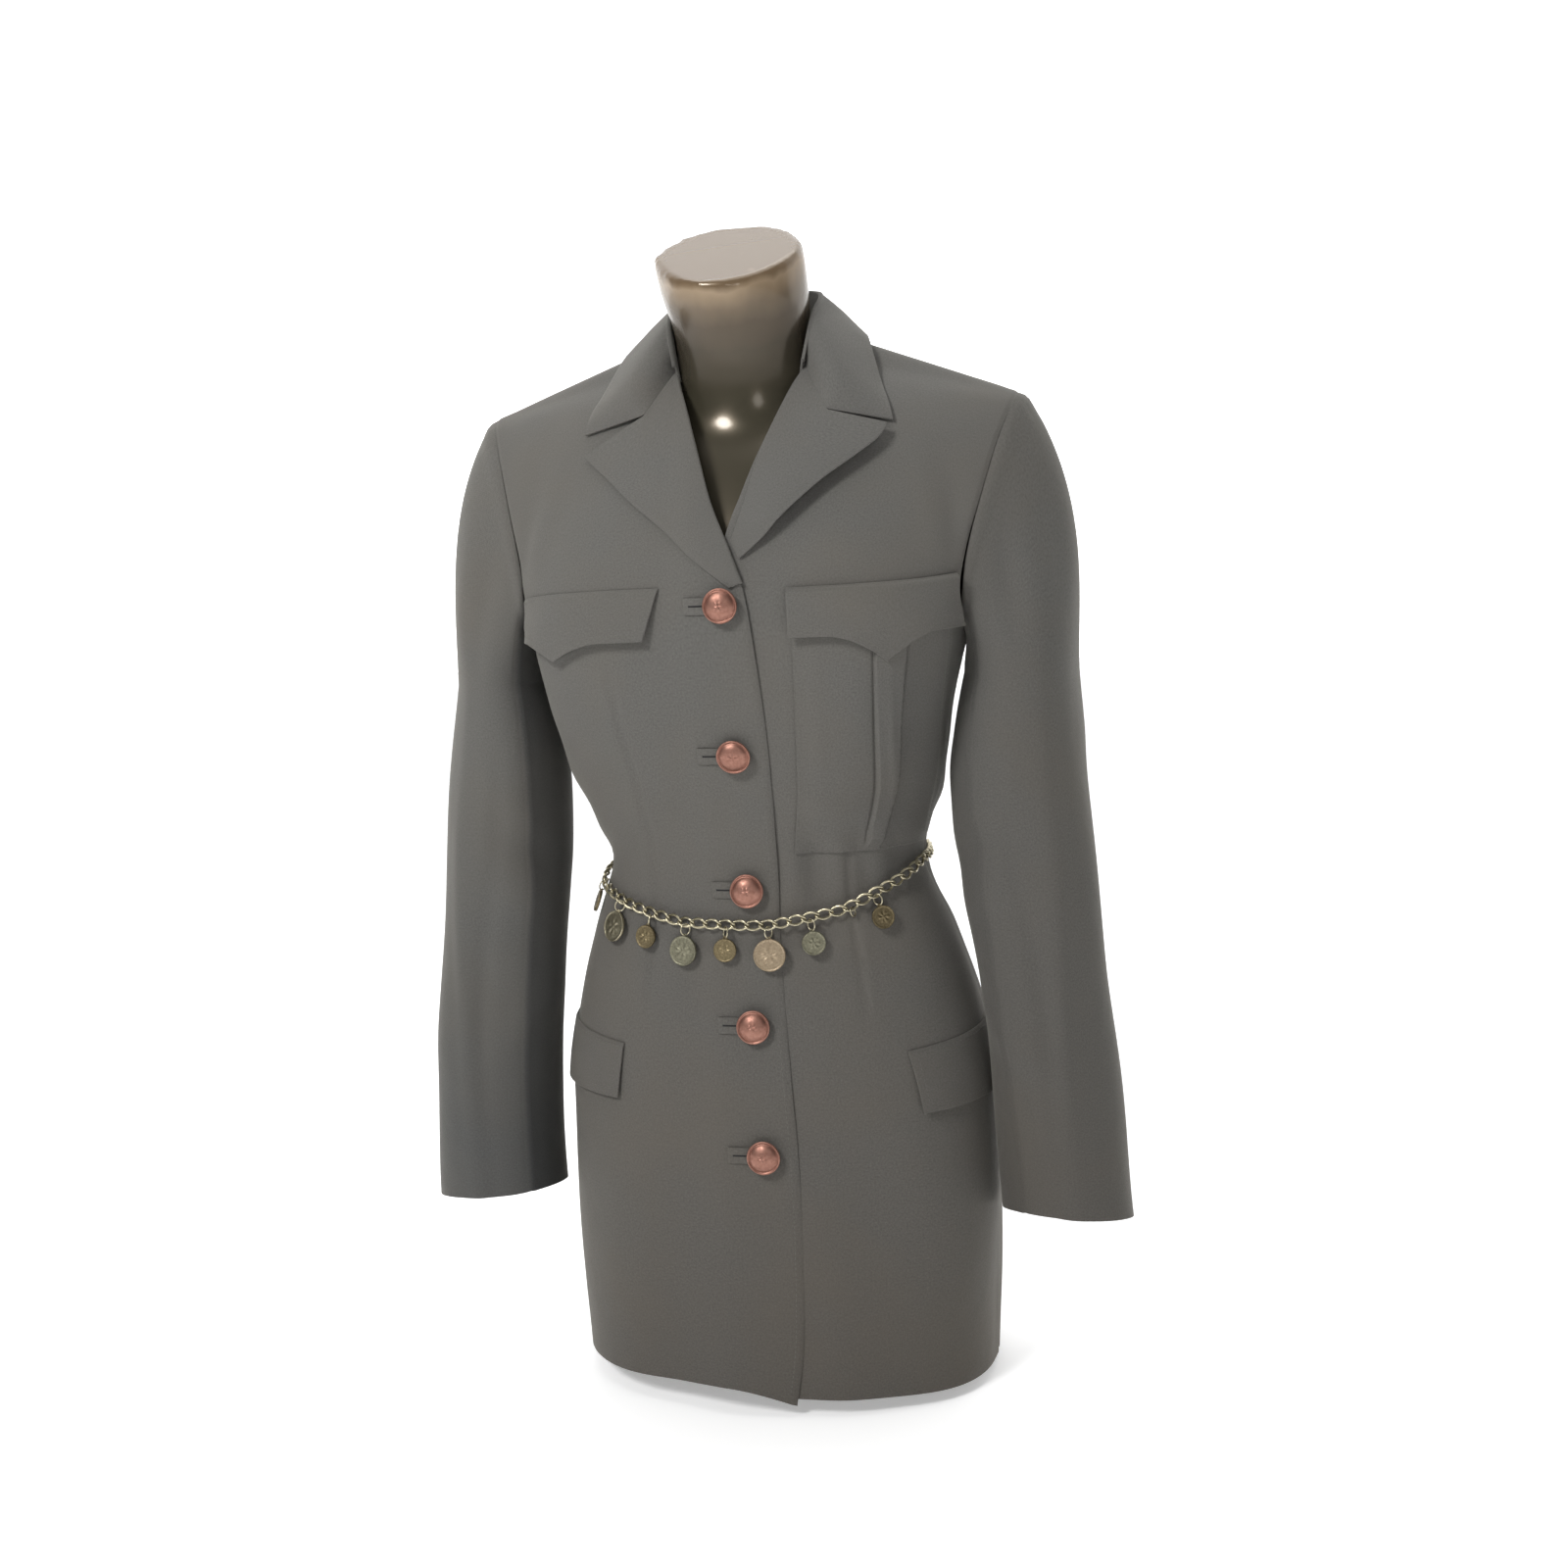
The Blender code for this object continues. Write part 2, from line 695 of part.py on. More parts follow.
for number, (x, z) in enumerate(button_places, 1):
    add_button(number, x, z)
    add_buttonhole(number, x, z)

# Torso form: rings from the flat foot to the shoulders, then the neck up to its sloping cut
torso_rings = (
    # z, x_mid, half, y_front, y_back, square, slope
    (0, 0, 136, -90, 66, 2.2, 0),
    (60, 0, 147, -101, 79, 2.2, 0),
    (130, 0, 152, -109, 87, 2.2, 0),
    (200, 0, 153, -111, 91, 2.2, 0),
    (250, 0, 149, -108, 88, 2.2, 0),
    (310, 0, 136, -101, 76, 2.2, 0),
    (365, 0, 120, -94, 60, 2.2, 0),
    (405, 0, 109, -91, 50, 2.2, 0),
    (440, 0, 116, -95, 51, 2.2, 0),
    (500, 0, 137, -108, 62, 2.3, 0),
    (555, 0, 148, -121, 71, 2.4, 0),
    (600, 0, 152, -126, 76, 2.5, 0),
    (640, 0, 151, -118, 77, 2.5, 0),
    (680, 0, 156, -100, 71, 2.3, 0),
    (715, 0, 163, -79, 60, 2.0, 0),
    (740, 0, 166, -55, 41, 1.6, 0),
    (752, 0, 163, -45, 31, 1.4, 0),
    (764, 0, 133.5, -38, 23, 1.25, 0),
    (775, 0, 105.5, -33, 17, 1.2, 0),
    (786, 0, 75.5, -27, 9, 1.2, 0),
)
neck_rings = (
    (690, 0, 40, -80, 20, 2.0, 0),
    (745, 0, 46, -74, 20, 2.0, 0),
    (775, 0, 46, -78, 19, 2.0, 0),
    (799, -0.5, 47.5, -86, 16, 2.0, 0.08),
    (813, -2, 49, -92, 11, 2.0, 0.25),
    (830, -4.5, 51, -97, 5, 2.0, 0.42),
    (847, -7, 53.5, -101, 3, 2.0, 0.54),
)
form_sides = 24
shoulder_y = -12


def ringed(name, rings, y_mid, sides):
    points = []
    for z, x_mid, half, y_front, y_back, square, slope in rings:
        middle = (y_front + y_back) / 2 if y_mid is None else y_mid
        for k in range(sides):
            angle = 2 * pi * k / sides
            c, s = cos(angle), sin(angle)
            x = x_mid + half * np.sign(s) * abs(s) ** (2 / square)
            deep = (middle - y_front) if c > 0 else (y_back - middle)
            y = middle - deep * np.sign(c) * abs(c) ** (2 / square)
            points.append(np.array([x, y, z + slope * (y - middle)]) * mm)
    faces = [tuple(range(sides))[::-1]]
    for r in range(len(rings) - 1):
        for k in range(sides):
            n = (k + 1) % sides
            low, high = r * sides, (r + 1) * sides
            faces.append((low + k, low + n, high + n, high + k))
    top = (len(rings) - 1) * sides
    faces.append(tuple(top + k for k in range(sides)))
    return add_object(name, points, faces, "form_plastic")


# Join a helper solid to a piece; the helper itself isn't part of the object
def unite(piece, helper):
    join = piece.modifiers.new("join", "BOOLEAN")
    join.operation = "UNION"
    join.solver = "EXACT"
    join.object = helper
    helper.hide_render = True
    helper.display_type = "WIRE"
    return piece


unite(ringed("torso_form", torso_rings, shoulder_y, form_sides), ringed("neck_helper", neck_rings, None, form_sides))

# Chain belt: how high it hangs round the waist, by turn from the centre front
chain_heights = ((-180, 408), (-120, 402), (-90, 393), (-54, 380), (-22, 367), (0, 365.5), (7, 366),
                 (31, 375), (46, 386), (78, 404), (120, 408), (180, 408))
chain = {"links": 68, "tall": 4.2, "thin": 2.3, "clear": 3.9, "sides": 5}


def chain_lift(x):
    return lap(abs(x) - 12 * mm) / mm + chain["clear"]


# A point near the cloth, by signed turn: negative is the wearer's right
def chain_place(turn, drop=0.0, lift=0.0):
    z = np.interp(turn, [t for t, h in chain_heights], [h for t, h in chain_heights]) - drop
    size = abs(turn)
    level = level_at(size, z * mm)
    x = around(size, level)[0]
    point = around(size, level, (chain_lift(x) + lift) * mm)
    point[0] = point[0] if turn >= 0 else -point[0]
    return point


# Places along the closed chain: each link is thin where it passes through the next, and tall at its middle
chain_turns = np.linspace(-180, 180, 241)
chain_fine = np.array([chain_place(t) for t in chain_turns])
chain_run = np.concatenate([[0], np.cumsum(np.linalg.norm(np.diff(chain_fine, axis=0), axis=1))])
chain_count = 2 * chain["links"]
chain_stops = np.interp(chain_run[-1] * np.arange(chain_count) / chain_count, chain_run, chain_turns)


# Axes at a place on the chain: along it, out from the cloth and down the cloth
def chain_frame(turn):
    top = chain_place(turn)
    low = chain_place(turn, drop=26, lift=0.4)
    ahead = unit(chain_place(turn + 1) - chain_place(turn - 1))
    out = unit(np.cross(ahead, top - low))
    return top, ahead, out, np.cross(ahead, out)


def chain_belt():
    points, faces = [], []
    count, sides = chain_count, chain["sides"]
    for i in range(count):
        middle, ahead, out, down = chain_frame(chain_stops[i])
        tall, thin = (chain["tall"], chain["thin"]) if i % 2 else (chain["thin"], chain["thin"])
        for k in range(sides):
            angle = 2 * pi * k / sides
            points.append(middle + (down * cos(angle) * tall - out * sin(angle) * thin) * mm)
    for i in range(count):
        low, high = i * sides, ((i + 1) % count) * sides
        for k in range(sides):
            n = (k + 1) % sides
            faces.append((low + k, low + n, high + n, high + k))
    add_object("chain_belt", points, faces, "old_gold")


chain_belt()

# Coin charms hang from the chain on rings: name, turn, coin radius or none
charms = (
    ("charm_1", -76, 8.5),
    ("charm_2", -56, 11.5),
    ("charm_3", -38.5, 8.5),
    ("charm_4", -22, 11.0),
    ("charm_5", -8, 8.5),
    ("charm_6", 7, 11.8),
    ("charm_7", 22, 8.7),
    ("charm_8", 36, None),
    ("charm_9", 46.5, 8.5),
)
ring = {"radius": 3.9, "wire": 0.8, "sides": 10, "wire_sides": 5}
coin = {"thick": 1.7, "rim": 1.1, "rim_rise": 0.25, "sides": 14, "overlap": 0.9}
hang = chain["tall"] + 0.35 + ring["radius"] + ring["wire"]


# The middle of the link nearest to a turn
def nearest_link(turn):
    return min(chain_stops[1::2], key=lambda stop: abs(stop - turn))


# A charm hangs straight down the cloth from the middle of its link
def charm_frame(near):
    turn = nearest_link(near)
    top, along, out, below = chain_frame(turn)
    down = unit(chain_place(turn, drop=26, lift=0.4) - top)
    out = unit(out - down * (out @ down))
    return top, np.cross(-down, out), out, down


def ring_mesh(name, centre, ahead, down, out):
    points, faces = [], []
    count, sides = ring["sides"], ring["wire_sides"]
    for i in range(count):
        a = 2 * pi * (i + 0.5) / count
        spoke = ahead * cos(a) + down * sin(a)
        for k in range(sides):
            b = 2 * pi * k / sides
            points.append(centre + (spoke * (ring["radius"] + ring["wire"] * cos(b)) + out * ring["wire"] * sin(b)) * mm)
    for i in range(count):
        low, high = i * sides, ((i + 1) % count) * sides
        for k in range(sides):
            n = (k + 1) % sides
            faces.append((low + k, low + n, high + n, high + k))
    return add_object(name, points, faces, "old_gold")


def add_charm(name, turn, radius):
    top, ahead, out, down = charm_frame(turn)
    centre = top + down * hang * mm
    if radius is None:
        return ring_mesh(name, centre, ahead, down, out)
    hoop = ring_mesh(name + "_ring", centre, ahead, down, out)
    coin_centre = centre + down * (ring["radius"] + radius - coin["overlap"]) * mm
    half = coin["thick"] / 2
    inner = radius - coin["rim"]
    profile = ((0, -half), (inner, -half), (inner + 0.2, -half - coin["rim_rise"]), (radius, -half - coin["rim_rise"]),
               (radius, half + coin["rim_rise"]), (inner + 0.2, half + coin["rim_rise"]), (inner, half), (0, half))
    return unite(turned(name, profile, coin["sides"], coin_centre, out, "old_bronze"), hoop)


for name, turn, radius in charms:
    add_charm(name, turn, radius)
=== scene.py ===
from math import cos, pi, radians, sin

import bpy
import numpy as np
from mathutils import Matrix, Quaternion, Vector


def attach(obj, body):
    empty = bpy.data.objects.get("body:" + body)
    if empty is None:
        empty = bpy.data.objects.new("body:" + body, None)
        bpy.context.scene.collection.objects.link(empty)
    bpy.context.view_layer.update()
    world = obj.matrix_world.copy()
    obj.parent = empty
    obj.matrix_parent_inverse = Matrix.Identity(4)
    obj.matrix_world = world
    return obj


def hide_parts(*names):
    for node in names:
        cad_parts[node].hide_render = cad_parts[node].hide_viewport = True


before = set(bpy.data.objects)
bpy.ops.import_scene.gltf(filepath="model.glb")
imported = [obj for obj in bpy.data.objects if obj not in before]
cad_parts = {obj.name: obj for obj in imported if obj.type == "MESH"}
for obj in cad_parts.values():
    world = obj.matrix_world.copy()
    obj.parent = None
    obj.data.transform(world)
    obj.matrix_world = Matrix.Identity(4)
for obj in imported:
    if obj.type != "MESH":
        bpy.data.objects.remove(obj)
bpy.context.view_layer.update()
bpy.ops.object.select_all(action="DESELECT")
print("frame loaded")

mm = 0.001

# rows from hem to shoulder: zMid, zSide, half, yMid, ySide, square, power, tilt, inner
frontTable = np.array((
    (14, 8, 163, -128, -12, 2.4, 0.42, 2.0, -24),
    (60, 60, 165, -129, -12, 2.4, 0.42, 2.0, -31),
    (130, 130, 167, -128, -12, 2.4, 0.42, 2.0, -32.5),
    (200, 200, 167, -126, -12, 2.4, 0.42, 2.0, -31),
    (250, 250, 165, -122, -14, 2.35, 0.425, 2.0, -27.5),
    (300, 300, 154.5, -117, -18, 2.3, 0.435, 2.0, -24.3),
    (350, 350, 139.5, -111, -24, 2.25, 0.444, 2.0, -22.4),
    (400, 400, 121.5, -106, -30, 2.2, 0.455, 2.0, -22.9),
    (430, 430, 128.5, -108, -30, 2.2, 0.455, 2.0, -23.2),
    (465, 465, 144.5, -114, -29, 2.3, 0.435, 2.0, -24),
    (510, 510, 155, -124, -27, 2.6, 0.385, 2.0, -24.1),
    (555, 555, 163, -134, -24, 3.0, 0.333, 2.0, -22),
    (600, 575, 165, -137, -20, 3.4, 0.30, 2.0, -17),
    (618, 584, 164.5, -136, -52, 3.3, 0.40, 2.0, -12),
    (636, 604, 163.5, -133, -78, 3.0, 0.60, 2.0, -5),
    (665, 632, 167, -124, -79, 2.6, 0.80, 1.9, 9),
    (697, 662, 174, -109, -73, 2.3, 1.0, 1.7, 20),
    (730, 702, 185, -88, -58, 2.1, 1.0, 1.5, 32),
    (760, 728, 194, -63, -41, 2.0, 1.0, 1.2, 42),
    (785, 739, 198.5, -37, -26, 2.0, 1.0, 1.05, 52),
    (817, 742, 200, -12, -12, 2.0, 1.0, 1.0, 66),
), float)
backTable = frontTable.copy()  # the back has the front's outline up to the armpit
backTable[0, 0] = 8
backTable[:, 8] = 0
backTable[:13, 3] = 100, 101, 103, 105, 103, 96, 83, 66, 66, 70, 78, 85, 89
backTable[13:] = (
    (618, 584, 164.5, 90, 10, 3.3, 0.40, 2.0, 0),
    (636, 604, 163.5, 90, 34, 3.0, 0.60, 2.0, 0),
    (665, 632, 165, 88, 42, 2.6, 0.80, 1.9, 0),
    (697, 662, 171, 85, 42, 2.3, 1.0, 1.7, 0),
    (732, 702, 183, 76, 33, 2.1, 1.0, 1.5, 0),
    (766, 728, 193, 59, 19, 2.0, 1.0, 1.2, 0),
    (788, 739, 198.5, 36, 3, 2.0, 1.0, 1.05, 12),
    (817, 742, 200, -12, -12, 2.0, 1.0, 1.0, 66),
)
bodyTables = {"front": frontTable, "back": backTable}
otherFace = {"front": "back", "back": "front"}
shoulderLevel = 20
armpitLevel = 12


def paired(a, b):
    return np.broadcast_arrays(np.asarray(a, float), np.asarray(b, float))


def lengthAlong(path):
    return np.concatenate([[0], np.cumsum(np.linalg.norm(np.diff(path, axis=0), axis=1))])


def pathAt(places, stops, points):
    return np.stack([np.interp(places, stops, points[:, a]) for a in range(3)], -1)


def curveThrough(rows, at):  # smooth values between the rows of a table, at many places
    at = np.asarray(at, float)
    last = len(rows) - 1
    i = np.clip(np.floor(at), 0, last - 1).astype(int)
    t = (at - i)[..., None]
    before = rows[np.maximum(i - 1, 0)]
    here = rows[i]
    nextRow = rows[i + 1]
    after = rows[np.minimum(i + 2, last)]
    rise0 = (nextRow - before) / 2
    rise1 = (after - here) / 2
    step = nextRow - here
    return here + t * rise0 + t * t * (3 * step - 2 * rise0 - rise1) + t ** 3 * (rise0 + rise1 - 2 * step)


def bodyRow(face, level):
    level = np.asarray(level, float)
    plain = curveThrough(bodyTables[face], np.minimum(level, shoulderLevel))
    overRows = np.vstack([bodyTables[face][-3:], bodyTables[otherFace[face]][-2:-1]])
    over = curveThrough(overRows, np.clip(level - (shoulderLevel - 2), 0, 3))
    return np.where((level > shoulderLevel - 1)[..., None], over, plain)


def bodyAt(face, turn, level):  # turn is 0 at the centre and 90 at the side
    row = bodyRow(face, level)
    turned = np.radians(turn)
    share = np.abs(np.sin(turned))
    depth = np.maximum(1 - share ** row[..., 5], 0) ** row[..., 6]
    x = row[..., 2] * np.sin(turned)
    y = row[..., 4] + (row[..., 3] - row[..., 4]) * depth
    z = row[..., 0] + (row[..., 1] - row[..., 0]) * share ** row[..., 7]
    return np.stack([x, y, z], -1) * mm


def unit(v):
    v = np.asarray(v, float)
    return v / np.maximum(np.linalg.norm(v, axis=-1, keepdims=True), 1e-12)


def bodyOut(face, turn, level):  # outward direction of the body's surface
    turn, level = paired(turn, level)
    low = np.clip(turn - 0.8, -60, 88)
    high = np.clip(turn + 0.8, -58, 90)
    along = bodyAt(face, high, level) - bodyAt(face, low, level)
    seamLow = (turn > 88) & (level <= armpitLevel)
    nearSide = np.full_like(turn, 88.5)
    across = bodyAt(otherFace[face], nearSide, level) - bodyAt(face, nearSide, level)
    along = np.where(seamLow[..., None], across, along)
    lowLevel = np.clip(level - 0.06, 0, shoulderLevel - 0.12)
    up = bodyAt(face, turn, lowLevel + 0.12) - bodyAt(face, turn, lowLevel)
    top = level > shoulderLevel - 0.05
    overUp = bodyAt(otherFace[face], turn, shoulderLevel - 0.05) - bodyAt(face, turn, shoulderLevel - 0.05)
    up = np.where(top[..., None], overUp, up)
    out = unit(np.cross(along, up))
    return out if face == "front" else -out


def around(turn, level, lift=0.0):  # turn past 90 is on the back; lift in metres
    turn, level = paired(turn, level)
    isFront = (turn <= 90)[..., None]
    here = np.where(turn <= 90, turn, 180 - turn)
    point = np.where(isFront, bodyAt("front", here, level), bodyAt("back", here, level))
    out = np.where(isFront, bodyOut("front", here, level), bodyOut("back", here, level))
    return point + out * np.asarray(lift, float)[..., None]


def levelAt(turn, z):  # z in metres
    turn, z = paired(turn, z)
    low, high = np.zeros(turn.shape), np.full(turn.shape, float(shoulderLevel))
    for _ in range(24):
        middle = (low + high) / 2
        under = around(turn, middle)[..., 2] < z
        low = np.where(under, middle, low)
        high = np.where(under, high, middle)
    return (low + high) / 2


wearing = {"right": 1.0, "left": -1.0}  # the right front laps over, the left one lies under


def findFront(x, z):  # turn and level of a front point, both in metres
    x, z = paired(x, z)
    low, high = np.zeros(x.shape), np.full(x.shape, float(shoulderLevel))
    turn = np.zeros(x.shape)
    for _ in range(24):
        middle = (low + high) / 2
        half = bodyRow("front", middle)[..., 2] * mm
        turn = np.degrees(np.arcsin(np.clip(x / half, -0.999, 0.999)))
        under = bodyAt("front", turn, middle)[..., 2] < z
        low = np.where(under, middle, low)
        high = np.where(under, high, middle)
    return turn, (low + high) / 2


def onFront(x, z, lift):  # a point that keeps its x and z while it stands off the front
    aim = np.stack(paired(x, z), -1)
    spot = aim.copy()
    for _ in range(4):
        turn, level = findFront(spot[..., 0], spot[..., 1])
        point = bodyAt("front", turn, level) + bodyOut("front", turn, level) * np.asarray(lift, float)[..., None]
        spot = spot + aim - point[..., [0, 2]]
    return point


lapLift = 2.2 * mm


def lap(x):  # how far the right front lies over the left one
    t = np.clip((46 * mm - np.asarray(x, float)) / (26 * mm), 0, 1)
    return lapLift * t * t * (3 - 2 * t)


lean = {"from": 0.560, "to": 0.250, "shift": 0.006}


def bump(value, centre, width):  # a soft ridge across one value
    return np.exp(-((value - centre) / width) ** 2)


def ease(value, low, high):
    t = np.clip((value - low) / (high - low), 0, 1)
    return t * t * (3 - 2 * t)


def leaned(points):  # the figure leans, the left side sits close under the arm and the right cuff flares
    x, z = points[..., 0], points[..., 2]
    t = np.clip((lean["from"] - z) / (lean["from"] - lean["to"]), 0, 1)
    moved = points.copy()
    moved[..., 0] += lean["shift"] * t * t * (3 - 2 * t)
    moved[..., 0] -= 0.0105 * bump(z, 0.518, 0.082) * ease(x, 0.08, 0.15) * (1 - ease(x, 0.19, 0.235))
    moved[..., 0] -= 0.0060 * (1 - ease(z, 0.14, 0.25)) * ease(-x, 0.20, 0.265)
    return moved


def gridOut(grid, closed=False):
    if closed:
        wide = np.concatenate([grid[:, -1:], grid, grid[:, :1]], axis=1)
        return unit(np.cross(np.gradient(wide, axis=1), np.gradient(wide, axis=0)))[:, 1:-1]
    return unit(np.cross(np.gradient(grid, axis=1), np.gradient(grid, axis=0)))


def fineLevels(spacing, top=shoulderLevel, start=0):  # levels whose heights are about evenly spaced
    levels = [float(start)]
    for level in range(int(start), int(top)):
        rise = abs(frontTable[level + 1, 0] - frontTable[level, 0]) * mm
        steps = max(2, int(round(rise / spacing)))
        levels += list(level + (np.arange(steps) + 1) / steps)
    return np.array(levels)


# materials
def newMaterial(name):
    made = bpy.data.materials.new(name)
    made.use_nodes = True
    tree = made.node_tree
    return made, tree, tree.nodes["Principled BSDF"]


def feed(tree, node, values):  # another node's output is linked, anything else is a plain value
    for key, value in values.items():
        if isinstance(value, bpy.types.NodeSocket):
            tree.links.new(value, node.inputs[key])
        else:
            node.inputs[key].default_value = value
    return node


def addNode(tree, kind, values=None, **settings):
    node = tree.nodes.new(kind)
    for key, value in settings.items():
        setattr(node, key, value)
    return feed(tree, node, values or {})


def objectPlace(tree):
    return addNode(tree, "ShaderNodeTexCoord").outputs["Object"]


def stretched(tree, vector, scale=(1, 1, 1), turn=0.0):
    values = {"Vector": vector, "Scale": scale, "Rotation": (0, 0, turn)}
    return addNode(tree, "ShaderNodeMapping", values).outputs["Vector"]


def noise(tree, vector, scale, detail=2.0, roughness=0.5):
    values = {"Vector": vector, "Scale": scale, "Detail": detail, "Roughness": roughness}
    return addNode(tree, "ShaderNodeTexNoise", values).outputs["Fac"]


def ramp(tree, source, stops):
    node = addNode(tree, "ShaderNodeValToRGB", {"Fac": source})
    elements = node.color_ramp.elements
    while len(elements) < len(stops):
        elements.new(0.5)
    for element, (place, colour) in zip(elements, stops):
        element.position = place
        element.color = (*colour, 1) if len(colour) == 3 else (colour[0], colour[0], colour[0], 1)
    return node.outputs["Color"]


def mixColour(tree, a, b, factor, blend="MULTIPLY"):
    values = {"Factor": factor, "A": a, "B": b}
    return addNode(tree, "ShaderNodeMix", values, data_type="RGBA", blend_type=blend).outputs["Result"]


def spread(tree, value, low, high, top=1.0):
    values = {"Value": value, "From Min": low, "From Max": high, "To Max": top}
    return addNode(tree, "ShaderNodeMapRange", values).outputs["Result"]


def timesPlus(tree, value, factor, added):
    values = {0: value, 1: factor, 2: added}
    return addNode(tree, "ShaderNodeMath", values, operation="MULTIPLY_ADD").outputs["Value"]


def bumped(tree, height, strength, distance, **more):
    values = {"Height": height, "Strength": strength, "Distance": distance, **more}
    return addNode(tree, "ShaderNodeBump", values).outputs["Normal"]


wool = {
    "dark": (0.097, 0.094, 0.087), "light": (0.150, 0.146, 0.136), "warm": (0.138, 0.124, 0.104),
    "twillScale": 349, "twillTurn": 58, "twillShare": 0.07, "fibreScale": 2600, "melangeScale": 700,
    "slubScale": (1500, 380, 1), "slubShare": 0.8, "cloudScale": 9, "seamStep": 0.0022, "seamFade": 0.030,
    "low": (0.62, 0.02, 0.62, (0.66, 0.595, 0.54)),  # from and to height, share and tone near the hem
    "yarnBump": (0.6, 0.00016), "softScale": 34, "softBump": (0.35, 0.0022),
    "finish": {"Roughness": 0.86, "Specular IOR Level": 0.22, "Sheen Weight": 0.22, "Sheen Roughness": 0.45,
               "Sheen Tint": (0.80, 0.78, 0.70, 1)},
}


def woolMaterial(name, shade=1.0, underPart=None, underSleeveShade=None, low=None):
    made, tree, shader = newMaterial(name)
    uv = addNode(tree, "ShaderNodeUVMap", uv_map="cloth").outputs["UV"]
    place = objectPlace(tree)
    twill = addNode(tree, "ShaderNodeTexWave", {
        "Vector": stretched(tree, uv, turn=radians(wool["twillTurn"])), "Scale": wool["twillScale"],
        "Distortion": 0.4, "Detail": 1.0}, wave_type="BANDS", bands_direction="X")
    fibre = noise(tree, uv, wool["fibreScale"], 3, 0.6)
    melange = noise(tree, uv, wool["melangeScale"], 4, 0.7)
    slub = noise(tree, stretched(tree, uv, wool["slubScale"]), 1, 3, 0.6)
    cloud = noise(tree, place, wool["cloudScale"], 3, 0.55)
    # shade scales the wool's colours down; below 1 it is painted shade
    dark, light, warm = ([c * shade for c in wool[tone]] for tone in ("dark", "light", "warm"))
    patches = ramp(tree, cloud, [(0.42, [0.0]), (0.72, [0.45])])
    colour = mixColour(tree, ramp(tree, melange, [(0.30, dark), (0.72, light)]), (*warm, 1), patches, "MIX")
    split = addNode(tree, "ShaderNodeSeparateXYZ", {"Vector": place})
    lowFrom, lowTo, lowShare, lowTone = low or wool["low"]
    colour = mixColour(tree, colour, (*lowTone, 1), spread(tree, split.outputs["Z"], lowFrom, lowTo, lowShare))
    if underPart:  # the under sleeve, seam to seam, is darkened with painted shade
        first, last = underPart
        way = 1 if last > first else -1
        across = addNode(tree, "ShaderNodeSeparateXYZ", {"Vector": uv}).outputs["X"]
        enters = spread(tree, across, first - way * wool["seamStep"], first + way * wool["seamStep"])
        leaves = spread(tree, across, last, last - way * wool["seamFade"])
        under = addNode(tree, "ShaderNodeMath", {0: enters, 1: leaves}, operation="MULTIPLY").outputs["Value"]
        colour = mixColour(tree, colour, (*underSleeveShade, 1), under)
    slubs = ramp(tree, slub, [(0.30, [0.86]), (0.70, [1.0])])
    colour = mixColour(tree, colour, slubs, wool["slubShare"])
    colour = mixColour(tree, colour, twill.outputs["Color"], wool["twillShare"])
    yarn = timesPlus(tree, twill.outputs["Fac"], 0.3, slub)
    relief = bumped(tree, timesPlus(tree, fibre, 0.5, yarn), *wool["yarnBump"])
    soft = bumped(tree, noise(tree, place, wool["softScale"]), *wool["softBump"], Normal=relief)
    feed(tree, shader, {"Base Color": colour, "Normal": soft, **wool["finish"]})
    return made


woolCloth = woolMaterial("woolCloth")
threadMaterial, threadTree, threadShader = newMaterial("topstitchThread")
threadTones = ramp(threadTree, noise(threadTree, objectPlace(threadTree), 1500),
                   [(0.3, (0.085, 0.081, 0.070)), (0.7, (0.130, 0.125, 0.108))])
feed(threadTree, threadShader, {"Base Color": threadTones, "Roughness": 0.6})
print("cloth materials made")


def selectOnly(piece):
    bpy.ops.object.select_all(action="DESELECT")
    piece.select_set(True)
    bpy.context.view_layer.objects.active = piece


def newObject(name, data):
    made = bpy.data.objects.new(name, data)
    bpy.context.scene.collection.objects.link(made)
    return made


def modify(piece, kind, **settings):
    made = piece.modifiers.new(kind, kind)
    for key, value in settings.items():
        setattr(made, key, value)


def applyModifiers(piece):
    selectOnly(piece)
    for modifier in list(piece.modifiers):
        bpy.ops.object.modifier_apply(modifier=modifier.name)


def editAll(piece, operator, **settings):  # one edit-mode step over the whole piece
    selectOnly(piece)
    bpy.ops.object.mode_set(mode="EDIT")
    bpy.ops.mesh.select_all(action="SELECT")
    operator(**settings)
    bpy.ops.object.mode_set(mode="OBJECT")


def paint(piece, material, angle=50):
    piece.data.materials.clear()
    piece.data.materials.append(material)
    selectOnly(piece)
    bpy.ops.object.shade_smooth_by_angle(angle=radians(angle))


def standFor(piece, body, nodes):  # the piece rides its body and takes the place of these nodes
    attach(piece, body)
    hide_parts(*nodes)


def meshPiece(name, points, faces, closed=True):
    mesh = bpy.data.meshes.new(name)
    mesh.from_pydata([tuple(point) for point in points], [], faces)
    made = newObject(name, mesh)
    if closed:
        editAll(made, bpy.ops.mesh.normals_make_consistent, inside=False)
    return made


